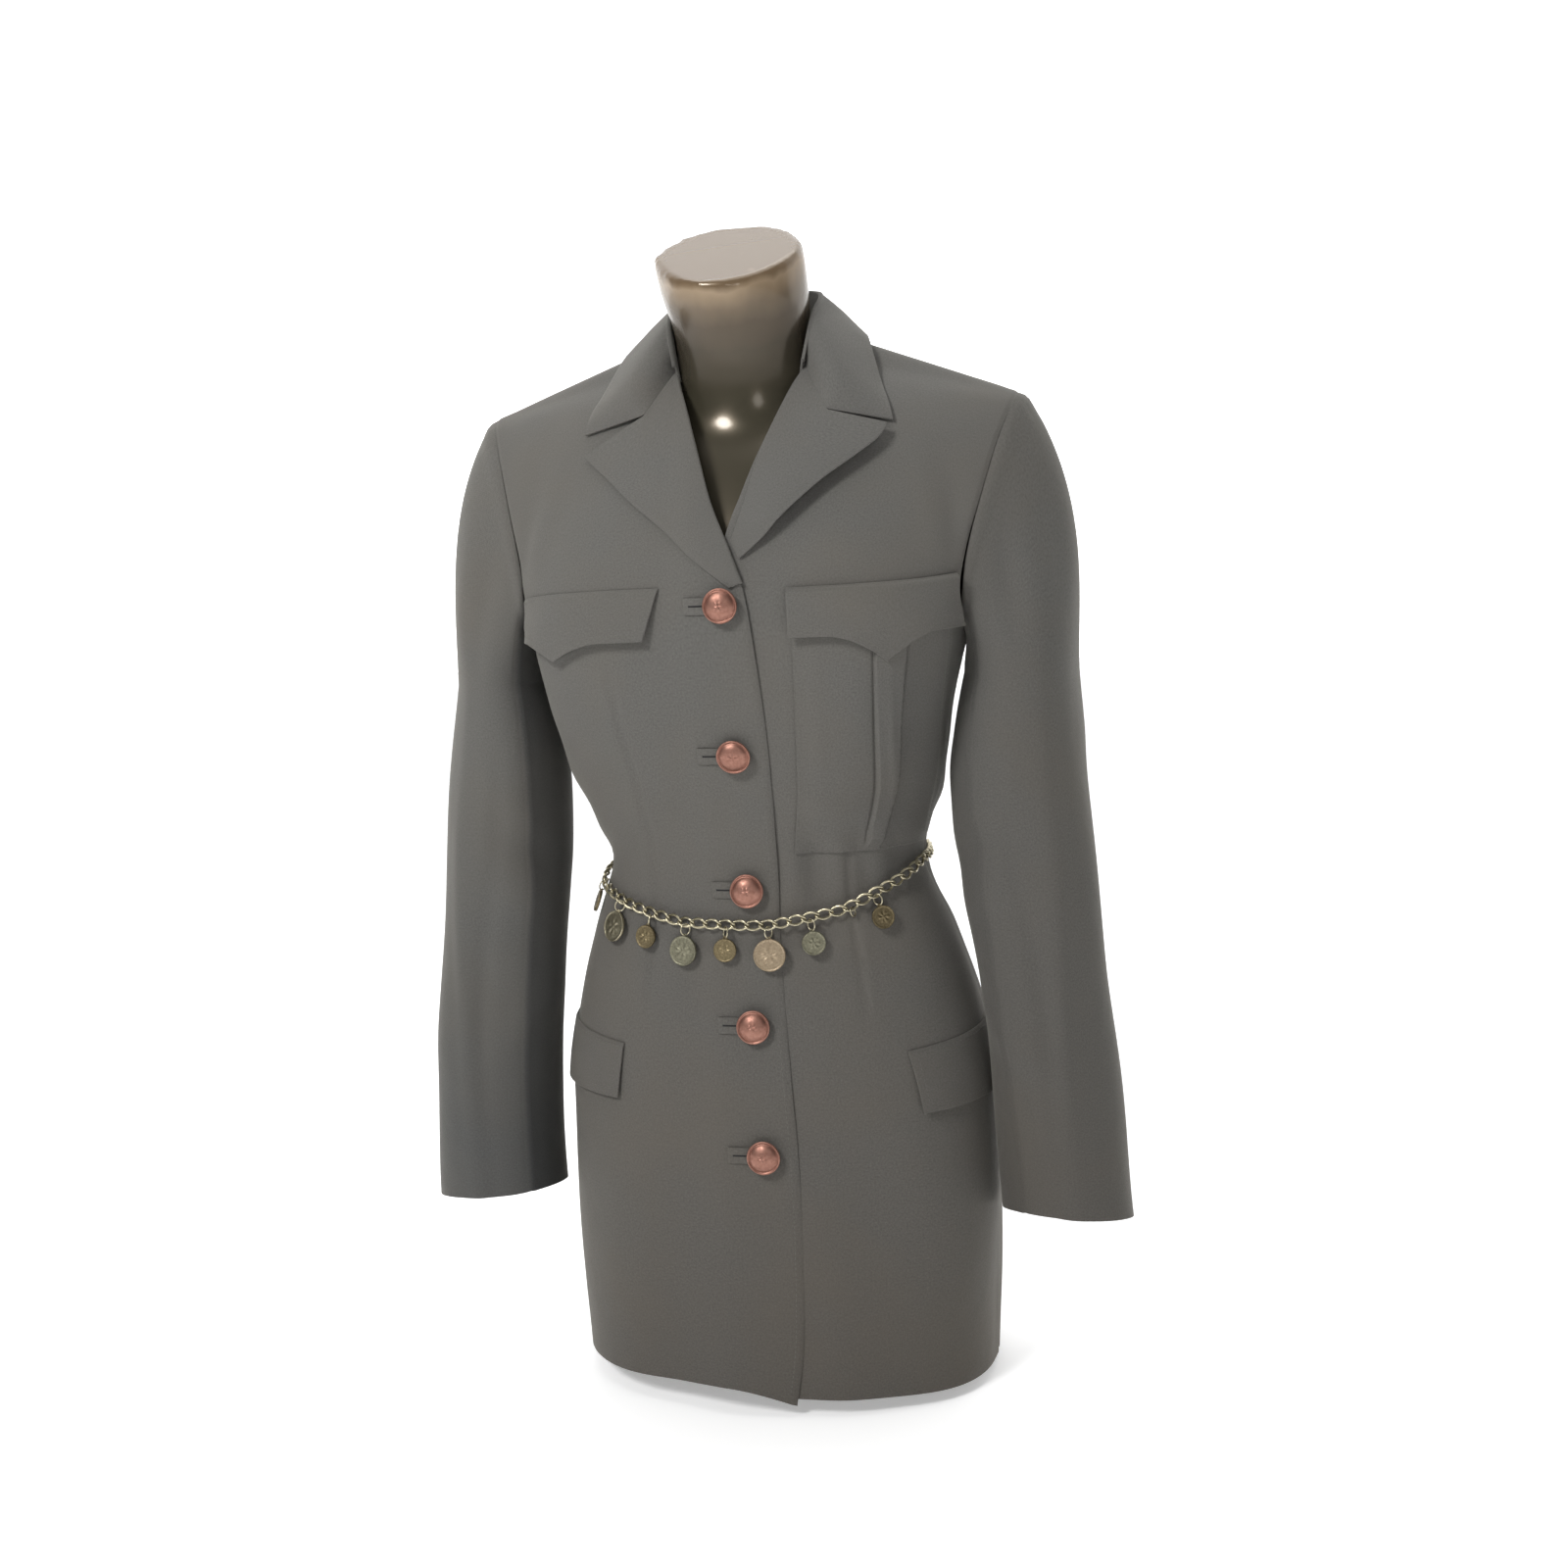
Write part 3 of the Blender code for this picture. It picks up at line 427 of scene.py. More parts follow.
# a sheet is a flat grid, laid out to its points, then given its thickness and soft edges
def clothSheet(name, points, thickness, material, tube=False, edge=0.0):
    rows, cols = points.shape[:2]
    bpy.ops.mesh.primitive_grid_add(x_subdivisions=cols - 1, y_subdivisions=rows - 1, size=1, calc_uvs=True)
    piece = bpy.context.object
    piece.name = piece.data.name = name
    mesh = piece.data
    mesh.vertices.foreach_set("co", np.ascontiguousarray(points, dtype=np.float32).reshape(-1))
    across = np.concatenate([[0], np.cumsum(np.linalg.norm(np.diff(points, axis=1), axis=2).mean(axis=0))])
    upward = np.concatenate([[0], np.cumsum(np.linalg.norm(np.diff(points, axis=0), axis=2).mean(axis=1))])
    flatU = np.tile(across, rows)
    flatV = np.repeat(upward, cols)
    corners = np.zeros(len(mesh.loops), dtype=np.int32)
    mesh.loops.foreach_get("vertex_index", corners)
    layer = mesh.uv_layers[0]
    layer.name = "cloth"
    layer.data.foreach_set("uv", np.stack([flatU[corners], flatV[corners]], -1).reshape(-1).astype(np.float32))
    mesh.update()
    if tube:
        editAll(piece, bpy.ops.mesh.remove_doubles, threshold=0.00001)
    modify(piece, "SOLIDIFY", thickness=thickness, offset=-1, use_rim=True)
    if edge:
        modify(piece, "BEVEL", width=edge, segments=2, limit_method="ANGLE", angle_limit=radians(60),
               use_clamp_overlap=True)
    applyModifiers(piece)
    paint(piece, material)
    return piece


def declare(piece, nodes):
    standFor(piece, "dress", nodes)


# stitches: one small bead of thread is modelled, then copied along a line
stitch = {"length": 2.8, "gap": 1.1, "radius": 0.20, "sink": -0.03}


def stitchLine(name, lines):
    vertices, faces = [], []
    for path, outs in lines:
        run = lengthAlong(path)
        pitch = (stitch["length"] + stitch["gap"]) * mm
        count = max(1, int(run[-1] / pitch))
        for k in range(count):
            ends = (k + 0.5) * run[-1] / count + np.array([-0.5, 0, 0.5]) * stitch["length"] * mm
            spots = pathAt(ends, run, path)
            up = unit(pathAt(ends[1], run, outs))
            along = unit(spots[2] - spots[0])
            side = unit(np.cross(up, along))
            start = len(vertices)
            for spot, thick, rise in ((spots[0], 0.35, -0.2), (spots[0] * 0.7 + spots[1] * 0.3, 0.95, 0.0),
                                      (spots[2] * 0.7 + spots[1] * 0.3, 0.95, 0.0), (spots[2], 0.35, -0.2)):
                for step in range(6):
                    angle = 2 * pi * step / 6
                    radius = stitch["radius"] * mm * thick
                    centre = spot + up * (rise + stitch["sink"]) * mm
                    vertices.append(centre + side * cos(angle) * radius + up * sin(angle) * radius)
            for ring in range(3):
                for step in range(6):
                    following = (step + 1) % 6
                    low, high = start + ring * 6, start + ring * 6 + 6
                    faces.append((low + step, low + following, high + following, high + step))
            faces.append(tuple(start + step for step in range(6))[::-1])
            faces.append(tuple(start + 18 + step for step in range(6)))
    made = meshPiece(name, vertices, faces)
    paint(made, threadMaterial, 60)
    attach(made, "dress")


def fromGrid(grid, rowPlaces, colPlaces):  # points inside a grid, at fractional rows and columns
    rowPlaces, colPlaces = paired(rowPlaces, colPlaces)
    r = np.clip(np.floor(rowPlaces), 0, grid.shape[0] - 2).astype(int)
    c = np.clip(np.floor(colPlaces), 0, grid.shape[1] - 2).astype(int)
    u, v = (rowPlaces - r)[..., None], (colPlaces - c)[..., None]
    return (grid[r, c] * (1 - u) * (1 - v) + grid[r + 1, c] * u * (1 - v)
            + grid[r, c + 1] * (1 - u) * v + grid[r + 1, c + 1] * u * v)


def halfPanel(face, inner, levels, columns):  # turn, level, points and outward directions, inner edge to side
    start = np.degrees(np.arcsin(inner / bodyRow(face, levels)[:, 2]))
    turn = start[:, None] + (90 - start[:, None]) * np.linspace(0, 1, columns)[None, :]
    level = np.repeat(levels[:, None], columns, axis=1)
    return turn, level, bodyAt(face, turn, level), bodyOut(face, turn, level)


def sew(name, grid, settings, nodes, edge=0.0, material=woolCloth, tube=False):
    piece = clothSheet(name, grid, settings["cloth"], material, tube, edge)
    declare(piece, nodes)
    return piece


# fronts
frontPanel = {
    "columns": 72, "rowSpacing": 0.0058, "cloth": 1.6 * mm,
    "sideDip": 0.9 * mm, "sideReach": 4.0 * mm, "edgeDip": 0.0011, "edgeReach": 0.0022,
    "hemRise": 7 * mm, "hemPoint": 13 * mm, "underRise": 0.014,
    "shoulderFade": (19.2, 19.9), "underBelt": (6.3, 0.35),
    "cutWidth": 0.30, "cutLength": 0.82,
}


def drape(x, z, side):  # soft folds of the fronts, in metres, as the wool lies over the form
    wave = 0.0006 * np.sin(x * 46 + z * 13 + side) * np.sin(z * 21 + 1.7 * side)
    wave += 0.0007 * np.sin(z * 33 + x * 24 * side + 0.6)
    nearWaist = bump(z, 0.425, 0.075)
    pull = 0.0009 * np.sin((z + x * 0.42 * side) * 118 + 9 * x) * nearWaist * ease(x, 0.03, 0.09)
    if side < 0:
        hanging = 0.0017 * np.sin(x * 205 + 0.8) + 0.0009 * np.sin(x * 118 + 2.2 + 6 * z)
        pull = pull + hanging * bump(z, 0.404, 0.030) * ease(x, 0.012, 0.030) * (1 - ease(x, 0.095, 0.115))
    belowBelt = -0.0016 * bump(z - 0.35 * x, 0.318, 0.013) * bump(x, 0.085, 0.035)
    ridge = 0.0018 * bump(z + 0.30 * x, 0.470, 0.011) * bump(x, 0.075, 0.040)
    chest = -0.0016 * bump(x + 0.22 * (z - 0.66), 0.158, 0.012) * bump(z, 0.655, 0.045)
    armFold = 0.0014 * bump(x + 0.30 * (z - 0.66), 0.142, 0.010) * bump(z, 0.650, 0.040)
    hemWave = 0.0016 * np.sin(x * 38 + 0.8 * side) * (1 - ease(z, 0.02, 0.16))
    skirt = 0.0016 * np.sin(x * 62 + 1.1 * side + 5 * z) * (1 - ease(z, 0.10, 0.30)) * ease(x, 0.03, 0.08)
    return wave + pull + belowBelt + ridge + chest + armFold + hemWave + skirt


dart = {"xTop": 0.088, "xWaist": 0.072, "xEnd": 0.082, "zTop": 0.560, "zWaist": 0.405, "zEnd": 0.285,
        "groove": 0.0016, "width": 0.0021}


def dartRelief(x, z):  # the waist dart: a fine line with the cloth rounded beside it
    above = ease(z, dart["zWaist"], dart["zTop"])
    below = ease(-z, -dart["zWaist"], -dart["zEnd"])
    line = dart["xWaist"] + (dart["xTop"] - dart["xWaist"]) * above + (dart["xEnd"] - dart["xWaist"]) * below
    inside = ease(z, dart["zEnd"], dart["zEnd"] + 0.03) * (1 - ease(z, dart["zTop"] - 0.03, dart["zTop"]))
    return inside * (-dart["groove"] * bump(x, line, dart["width"]) + 0.0005 * bump(x, line + 0.006, 0.005))


def hemShift(x):
    return frontPanel["hemRise"] - frontPanel["hemPoint"] * np.clip((25 * mm - x) / (52 * mm), 0, 1) ** 1.5


def frontRelief(turn, level, side, darts=True):  # how far the draped wool stands off its pattern surface
    point = bodyAt("front", turn, level)
    toSide = np.linalg.norm(point - bodyAt("front", np.full_like(point[..., 0], 90.0), level), axis=-1)
    x, z = point[..., 0], point[..., 2]
    fade = ease(toSide, 0, 0.02) * (1 - ease(level, *frontPanel["shoulderFade"]))
    folds = drape(x, z, side) * fade * (1 - 0.55 * bump(level, *frontPanel["underBelt"]))
    return folds + dartRelief(x, z) if darts else folds


def frontGrid(side):
    laps = side == "right"
    levels = fineLevels(frontPanel["rowSpacing"])
    inner = bodyRow("front", levels)[:, 8]
    if not laps:
        hidden = 4 * ease(levels, 12, 13) * (1 - ease(levels, 14, 15))
        inner = np.where(levels < 13, np.maximum(inner, -20), inner) + hidden
    turn, level, points, outs = halfPanel("front", inner, levels, frontPanel["columns"])
    x = points[..., 0].copy()
    toSide = np.linalg.norm(points - points[:, -1:], axis=2)
    toShoulder = np.linalg.norm(points - points[-1:], axis=2)
    toEdge = np.linalg.norm(points - points[:, :1], axis=2)
    lift = frontRelief(turn, level, wearing[side])
    lift -= frontPanel["sideDip"] * (1 - ease(toSide, 0, frontPanel["sideReach"]))
    lift -= frontPanel["sideDip"] * (1 - ease(toShoulder, 0, frontPanel["sideReach"]))
    lift -= frontPanel["edgeDip"] * (1 - ease(toEdge, 0, frontPanel["edgeReach"])) * (level < 12.5)
    if laps:
        lift += lap(x)
    points = points + outs * lift[..., None]
    if laps:
        points[..., 2] += hemShift(x) * np.clip(1 - level, 0, 1)
        points[..., 0] *= -1
    else:
        points[..., 2] += frontPanel["underRise"] * (1 - ease(x, 0.004, 0.021)) * np.clip(1 - level, 0, 1)
    return leaned(points)


frontPieces = {}
for side in ("right", "left"):
    grid = frontGrid(side)
    if side == "right":
        grid = grid[:, ::-1]
    sew(f"{side}FrontCloth", grid, frontPanel, [f"{side}_front"], 0.0005)
    frontPieces[side] = grid
print("fronts draped")

# backs, two sheets that meet at the centre seam
backPanel = {"columns": 56, "cloth": 1.6 * mm, "seamDip": 0.9 * mm, "seamReach": 3.5 * mm,
             "cutWidth": 0.25, "cutLength": 0.82}


def backDrape(x, z):
    side = np.abs(x)
    wave = 0.0007 * np.sin(x * 41 + z * 17) + 0.0006 * np.sin(z * 37 + x * 19 + 2)
    hollow = 0.0016 * np.sin((z + 0.25 * side) * 120) * bump(z, 0.425, 0.06) * ease(side, 0.015, 0.05)
    blade = 0.0014 * bump(side + 0.2 * (z - 0.64), 0.120, 0.014) * bump(z, 0.640, 0.06)
    blade -= 0.0014 * bump(side + 0.2 * (z - 0.64), 0.142, 0.012) * bump(z, 0.640, 0.05)
    hemWave = 0.0020 * np.sin(x * 33 + 0.4) * (1 - ease(z, 0.02, 0.18))
    backDart = -0.0009 * bump(side, 0.062, 0.0016) * ease(z, 0.30, 0.33) * (1 - ease(z, 0.52, 0.56))
    return wave + hollow + blade + hemWave + backDart


def backGrid():
    levels = fineLevels(frontPanel["rowSpacing"])
    inner = np.clip(bodyRow("back", levels)[:, 8], 0, None)
    turn, level, points, outs = halfPanel("back", inner, levels, backPanel["columns"])
    away = np.cumsum(np.linalg.norm(np.diff(points, axis=1), axis=2)[:, ::-1], axis=1)[:, ::-1]
    away = np.concatenate([away, np.zeros((len(levels), 1))], axis=1)
    shoulderAway = np.linalg.norm(points - points[-1:], axis=2)
    sides = {}
    for name, sign in (("left", 1), ("right", -1)):
        x = points[..., 0] * sign
        z = points[..., 2]
        fade = ease(away, 0, 0.02) * ease(np.abs(level - shoulderLevel), 0, 0.5)
        lift = backDrape(x, z) * fade
        lift -= backPanel["seamDip"] * (1 - ease(away, 0, backPanel["seamReach"]))
        lift -= backPanel["seamDip"] * (1 - ease(shoulderAway, 0, backPanel["seamReach"]))
        lift -= 0.8 * backPanel["seamDip"] * (1 - ease(np.abs(x), 0, backPanel["seamReach"] * 0.7))
        shaped = points + outs * lift[..., None]
        shaped[..., 0] = shaped[..., 0] * sign
        if name == "right":
            shaped[..., 2] += frontPanel["hemRise"] * (turn / 90) * np.clip(1 - level, 0, 1)
        sides[name] = leaned(shaped)
    return sides


backSides = backGrid()
for side in ("left", "right"):
    grid = backSides[side][:, ::-1] if side == "left" else backSides[side]
    sew(f"{side}BackCloth", grid, backPanel, [f"{side}_back"])
print("backs draped")

# sleeves: one tube each, with the two seams pressed in; rows of height, middle x and y, half width and depth
sleeveTables = {
    1: np.array((
        (540, 202.5, -20, 38, 65),
        (500, 200.5, -28, 43, 59),
        (460, 197.5, -37, 46.5, 54),
        (400, 198.5, -47, 49, 49),
        (350, 202, -52, 48.5, 47),
        (310, 206, -55, 47, 46),
        (260, 211, -55, 46.5, 45),
        (200, 216, -52, 47.5, 44),
        (141, 220.5, -48, 49.5, 43),
    ), float),
    -1: np.array((
        (540, 201, -20, 35, 65),
        (500, 200.5, -28, 41, 59),
        (460, 200.5, -37, 45.5, 54),
        (400, 203, -47, 49, 49),
        (350, 208, -52, 48.5, 47),
        (310, 212, -55, 48, 46),
        (260, 217, -55, 48, 45),
        (200, 220, -52, 48.5, 44),
        (141, 221.5, -48, 49, 43),
    ), float),
}
sleeve = {"around": 120, "headRows": 44, "armRows": 84, "cloth": 1.6 * mm, "cutWidth": 0.36, "cutLength": 0.66,
          "frontSeam": 128, "backSeam": 232, "seamDip": 0.0011, "seamBeside": 0.0004,
          # the tones of the under sleeves are painted shade, deep on the right sleeve and light on the left
          "underSleeveShade": {"right": (0.50, 0.51, 0.53), "left": (0.84, 0.84, 0.84)},
          # the left sleeve's shade of 0.88 is painted shade over the whole sleeve
          "shade": {"right": 1.0, "left": 0.88},
          "low": {"right": (0.48, 0.19, 0.85, (0.58, 0.60, 0.63)), "left": None}}


def cuffTilt(c, s, sign):  # the cuff's end, higher at the front so that it hangs level to the eye
    return 9 * s - 2 * c - 5 if sign > 0 else 5 * s - 6 * c


def sleeveGrid(sign):
    fineArm = np.linspace(armpitLevel, shoulderLevel, 33)
    frontEdge = bodyAt("front", np.full(33, 90.0), fineArm)[::-1]
    backEdge = bodyAt("back", np.full(33, 90.0), fineArm)[1:-1]
    loop = np.concatenate([frontEdge, backEdge])
    closedLoop = np.vstack([loop, loop[:1]])
    run = lengthAlong(closedLoop)
    bottom = len(frontEdge) - 1
    angles = np.where(np.arange(len(loop)) <= bottom, pi * run[:-1] / run[bottom],
                      pi + pi * (run[:-1] - run[bottom]) / (run[-1] - run[bottom]))
    wanted = np.linspace(0, 2 * pi, sleeve["around"], endpoint=False)
    start = pathAt(wanted, np.append(angles, 2 * pi), closedLoop)
    start[:, 0] += 0.0004
    armPlaces = np.linspace(0, 8, sleeve["armRows"])
    arm = curveThrough(sleeveTables[sign], armPlaces)
    c, s = np.cos(wanted), np.sin(wanted)
    tube = np.stack([arm[:, 1, None] + arm[:, 3, None] * c, arm[:, 2, None] - arm[:, 4, None] * s,
                     arm[:, 0, None] + cuffTilt(c, s, sign) * ease(-arm[:, 0, None], -240, -150)], -1) * mm
    end = tube[0]
    top = ((1 + c) / 2)[:, None]
    leave = unit(top * np.array([1, 0, -1]) + (1 - top) * np.array([0.18, 0, -1]))
    reach = np.linalg.norm(end - start, axis=1, keepdims=True) * 0.30
    first = start + leave * reach
    second = end + np.array([-0.03, 0, 1]) * reach
    rows = []
    for t in np.linspace(0, 1, sleeve["headRows"], endpoint=False):
        u = 1 - t
        rows.append(u ** 3 * start + 3 * u * u * t * first + 3 * u * t * t * second + t ** 3 * end)
    grid = np.concatenate([np.array(rows), tube])[::-1]
    return grid, np.degrees(wanted)


# creases across a sleeve: height, z and its width, tilt and where it starts, turn and its width
sleeveCreases = ((-0.0030, 0.425, 0.014, -0.00045, 120, 130, 42), (0.0024, 0.265, 0.016, 0.00050, 100, 120, 38))
# folds along a sleeve: height, turn, its wander, rate and start, width of turn, z and its width
sleeveLengthFolds = (
    (0.0030, 74, 10, 11, 0, 11, 0.330, 0.17),
    (-0.0022, 96, 8, 13, 1, 10, 0.330, 0.15),
    (0.0020, 60, 0, 0, 0, 16, 0.620, 0.05),
    (-0.0028, 84, 0, 0, 0, 14, 0.600, 0.05),
    (0.0022, 300, 0, 0, 0, 22, 0.560, 0.09),
)


def sleeveFolds(grid, turn, sign):  # turn 0 outer, 90 front, 180 inner
    z = grid[..., 2]
    turn = np.broadcast_to(turn, z.shape)
    wide = np.minimum(np.abs(turn - 0), np.abs(turn - 360))
    folds = 0.0010 * np.sin(z * 31 + np.radians(turn) * 2 + sign)
    folds += 0.0009 * np.sin(z * 19 - np.radians(turn) * 3 + 2.2 * sign)
    elbow = bump(z, 0.395, 0.060)
    folds += 0.0013 * np.sin(z * 104 + np.radians(turn) * 2.1 + 9 * z * z) * elbow * bump(turn, 128, 42)
    for height, zAt, zWidth, tilt, tiltFrom, turnAt, turnWidth in sleeveCreases:
        folds += height * bump(z - tilt * (turn - tiltFrom), zAt, zWidth) * bump(turn, turnAt, turnWidth)
    for height, turnAt, wander, rate, start, turnWidth, zAt, zWidth in sleeveLengthFolds:
        folds += height * bump(turn, turnAt + wander * np.sin(z * rate + start), turnWidth) * bump(z, zAt, zWidth)
    dip, beside = sleeve["seamDip"], sleeve["seamBeside"]
    seams = -dip * bump(turn, sleeve["frontSeam"], 1.5) - dip * bump(turn, sleeve["backSeam"], 1.5)
    seams += beside * bump(turn, sleeve["frontSeam"] + 5, 3) + beside * bump(turn, sleeve["backSeam"] - 5, 3)
    headEase = 0.00035 * np.sin(np.radians(turn) * 46) * bump(wide, 0, 55)
    return folds, seams, headEase


for side, sign in (("right", -1), ("left", 1)):
    grid, turn = sleeveGrid(sign)
    outs = gridOut(grid, closed=True)
    if (outs[10, 0] @ np.array([1, 0, 0])) < 0:
        outs = -outs
    fromHead = np.linalg.norm(grid - grid[-1:], axis=2)
    folds, seams, headEase = sleeveFolds(grid, turn[None, :], sign)
    calm = ease(fromHead, 0.0, 0.06)
    lift = folds * calm + seams * ease(fromHead, 0, 0.01) + headEase * bump(fromHead, 0.012, 0.009)
    lift += 0.0011 * bump(fromHead, 0.008, 0.006) - 0.0012 * (1 - ease(fromHead, 0, 0.003))
    grid = grid + outs * lift[..., None]
    grid = np.concatenate([grid, grid[:, :1]], axis=1)
    if sign > 0:
        grid = grid[:, ::-1]
    grid[..., 0] *= sign
    grid = leaned(grid)
    girth = np.linalg.norm(np.diff(grid, axis=1), axis=2).mean(axis=0).sum()
    seamPlaces = [girth * sleeve[key] / 360 for key in ("frontSeam", "backSeam")]
    if sign > 0:
        seamPlaces = [girth - place for place in seamPlaces]
    sleeveWool = woolMaterial(f"{side}SleeveWool", sleeve["shade"][side], seamPlaces, sleeve["underSleeveShade"][side],
                              sleeve["low"][side])
    sew(f"{side}SleeveCloth", grid, sleeve, [f"{side}_upper_sleeve", f"{side}_under_sleeve"],
        material=sleeveWool, tube=True)
print("sleeves hung")

# pieces sewn on the fronts follow the same folds
def overCloth(turn, level, lift, side):
    turn, level = paired(turn, level)
    face = np.where(turn <= 90, turn, 90.0)
    relief = frontRelief(face, level, side, darts=False) * (turn <= 90)
    return around(turn, level, lift + relief)


def overFront(x, z, lift, side, lapped=False):  # the same, by x and z in metres
    turn, level = findFront(x, z)
    relief = frontRelief(turn, level, side)
    return onFront(x, z, lift + relief + (lap(x) if lapped else 0))


def placed(grid, mirror):  # mirrored to the wearer's right, faces still outward, and leaned
    grid = grid.copy()
    if mirror:
        grid[..., 0] *= -1
        grid = grid[:, ::-1]
    return leaned(grid)


def runAt(grid, inset, fromLow=True):  # fractional row at a set distance from the first or last row
    work = grid if fromLow else grid[::-1]
    run = np.concatenate([np.zeros((1, grid.shape[1])),
                          np.cumsum(np.linalg.norm(np.diff(work, axis=0), axis=2), axis=0)])
    places = np.array([np.interp(inset, run[:, c], np.arange(len(run))) for c in range(grid.shape[1])])
    return places if fromLow else len(run) - 1 - places


def seamRun(grid, edge, inset, startInset, endInset):  # a line parallel to one edge
    work = grid if edge in ("low", "high") else grid.transpose(1, 0, 2)
    outs = gridOut(grid) if edge in ("low", "high") else gridOut(grid).transpose(1, 0, 2)
    places = runAt(work, inset, edge in ("low", "left"))
    columns = np.arange(work.shape[1])
    path = fromGrid(work, places, columns)
    direction = fromGrid(outs, places, columns)
    run = lengthAlong(path)
    keep = (run >= startInset) & (run <= run[-1] - endInset)
    return path[keep], direction[keep]


def flapStitches(grid, inset):  # round the three free sides, and once along the sewn one
    for edge, insets in (("low", (inset, inset, inset)), ("left", (inset, inset, 0.001)),
                         ("right", (inset, inset, 0.001)), ("high", (0.0035, 0.002, 0.002))):
        stitchLines.append(seamRun(grid, edge, *insets))


# lapels, rolled over from the fronts' edges; rows of x and z at the roll, the middle and the edge
lapelTables = {
    "right": np.array((
        (-14, 612, -10, 610.5, -6, 609),
        (-4, 638, 6, 632, 18, 628),
        (9, 668, 24, 657, 42, 650),
        (20, 700, 42, 681, 66, 669),
        (32, 732, 57, 699, 88, 688),
        (42, 754, 66, 711, 103, 700),
        (48, 767, 64.5, 734, 110, 706),
    ), float),
    "left": np.array((
        (7, 640, 10, 634, 13, 629),
        (12, 655, 21, 648, 30, 643),
        (16, 668, 30, 661, 44, 658),
        (24, 700, 46, 687, 69, 681),
        (35, 732, 60, 706, 92, 698),
        (44, 754, 68, 718, 107, 710),
        (48, 767, 69.5, 731, 112, 720),
    ), float),
}
lapelSet = {"along": 90, "across": 34, "cloth": 1.3 * mm, "rollSteps": 7, "rollRadius": 1.75 * mm,
            "right": (2.0, 4.4, 3.0), "left": (2.0, 8.0, 10.0), "inset": 6 * mm,
            "cutWidth": 0.13, "cutLength": 0.22}
stitchLines = []


def lapelGrid(side):
    rows = lapelTables[side]
    atRoll, atMiddle, atEdge = lapelSet[side]
    w = np.linspace(0, 1, lapelSet["along"])
    h = np.linspace(0, 1, lapelSet["across"])
    spots = curveThrough(rows, w * (len(rows) - 1)).reshape(-1, 3, 2)
    opened = np.minimum(w * 3, 1)
    rounding = 0.8 * (1 - ease(w, 0.82, 1.0))[:, None]
    curved = ((1 - h) * (1 - 2 * h), 4 * h * (1 - h), h * (2 * h - 1))
    straight = (np.clip(1 - 2 * h, 0, 1), 1 - np.abs(2 * h - 1), np.clip(2 * h - 1, 0, 1))
    near, mid, far = (rounding * c[None, :] + (1 - rounding) * s[None, :] for c, s in zip(curved, straight))
    x, z = (spots[:, 0, a, None] * near + spots[:, 1, a, None] * mid + spots[:, 2, a, None] * far for a in (0, 1))
    stand = (atRoll * near + (atRoll + (atMiddle - atRoll) * opened[:, None]) * mid
             + (atRoll + (atEdge - atRoll) * opened[:, None]) * far)
    stand = np.maximum(stand, 1.6)
    grid = overFront(x * mm, z * mm, stand * mm, wearing[side], side == "right")
    roll = grid[:, 0]
    along = unit(np.gradient(roll, axis=0))
    into = unit(grid[:, 3] - grid[:, 0])
    out = unit(np.cross(into, along))
    radius = lapelSet["rollRadius"]
    centre = roll - out * radius
    turns = np.linspace(1.0 * pi, 0.08 * pi, lapelSet["rollSteps"])
    rolled = np.stack([centre - into * radius * sin(t) + out * radius * cos(t) for t in turns], axis=1)
    return np.concatenate([rolled, grid], axis=1)


gorge = {}
for side in ("right", "left"):
    grid = lapelGrid(side)
    gorge[side] = grid[-1, lapelSet["rollSteps"]:]
    grid = placed(grid, side == "right")
    sew(f"{side}LapelCloth", grid, lapelSet, [f"{side}_lapel"], 0.00045)
    outer = "left" if side == "right" else "right"
    stitchLines.append(seamRun(grid, outer, lapelSet["inset"], 0.012, lapelSet["inset"]))
    ends = (0.012, 0.004) if side == "left" else (0.004, 0.012)
    stitchLines.append(seamRun(grid, "high", lapelSet["inset"], *ends))
print("lapels rolled")

# collar: fall, rolled top and stand are one folded sheet; rows of x, y, z at the roll, the middle and the edge
collarHalf = (
    (49, -58, 768, 71, -86, 727, 115, -78, 722),
    (55, -46, 800, 77, -66, 766, 107, -59, 746),
    (57, -14, 818, 73, -16, 804, 89, -15, 788),
    (48, 15, 825, 64, 24, 804, 79, 36, 769),
    (30, 30, 828, 39, 42, 805, 45, 61, 760),
    (0, 35, 829, 0, 48, 805, 0, 67, 758),
)
flip = np.array((-1, 1, 1) * 3)
collarTable = np.array(list(collarHalf) + [np.array(row) * flip for row in collarHalf[-2::-1]], float)
collarTable[-1, 6] += 4
standRows = (
    ("front", 18.35, 0), ("front", 18.6, 0.8), ("front", 19, 1.1), ("front", 19.5, 1.55), ("back", 20, 2.0),
    ("back", 19.75, 2.5), ("back", 19.5, 3.2), ("back", 19.25, 4.1), ("back", 19, 5.0),
)
collar = {"along": 190, "fall": 30, "roll": 9, "stand": 12, "cloth": 1.5 * mm, "rollRadius": 1.8 * mm,
          "rounding": 0.6, "inset": 6 * mm, "cutWidth": 0.40, "cutLength": 0.11}


def neckEdge(face, level):
    row = bodyRow(face, np.array([level]))
    turn = np.degrees(np.arcsin(row[:, 8] / row[:, 2]))
    return bodyAt(face, turn, np.array([level]))[0]


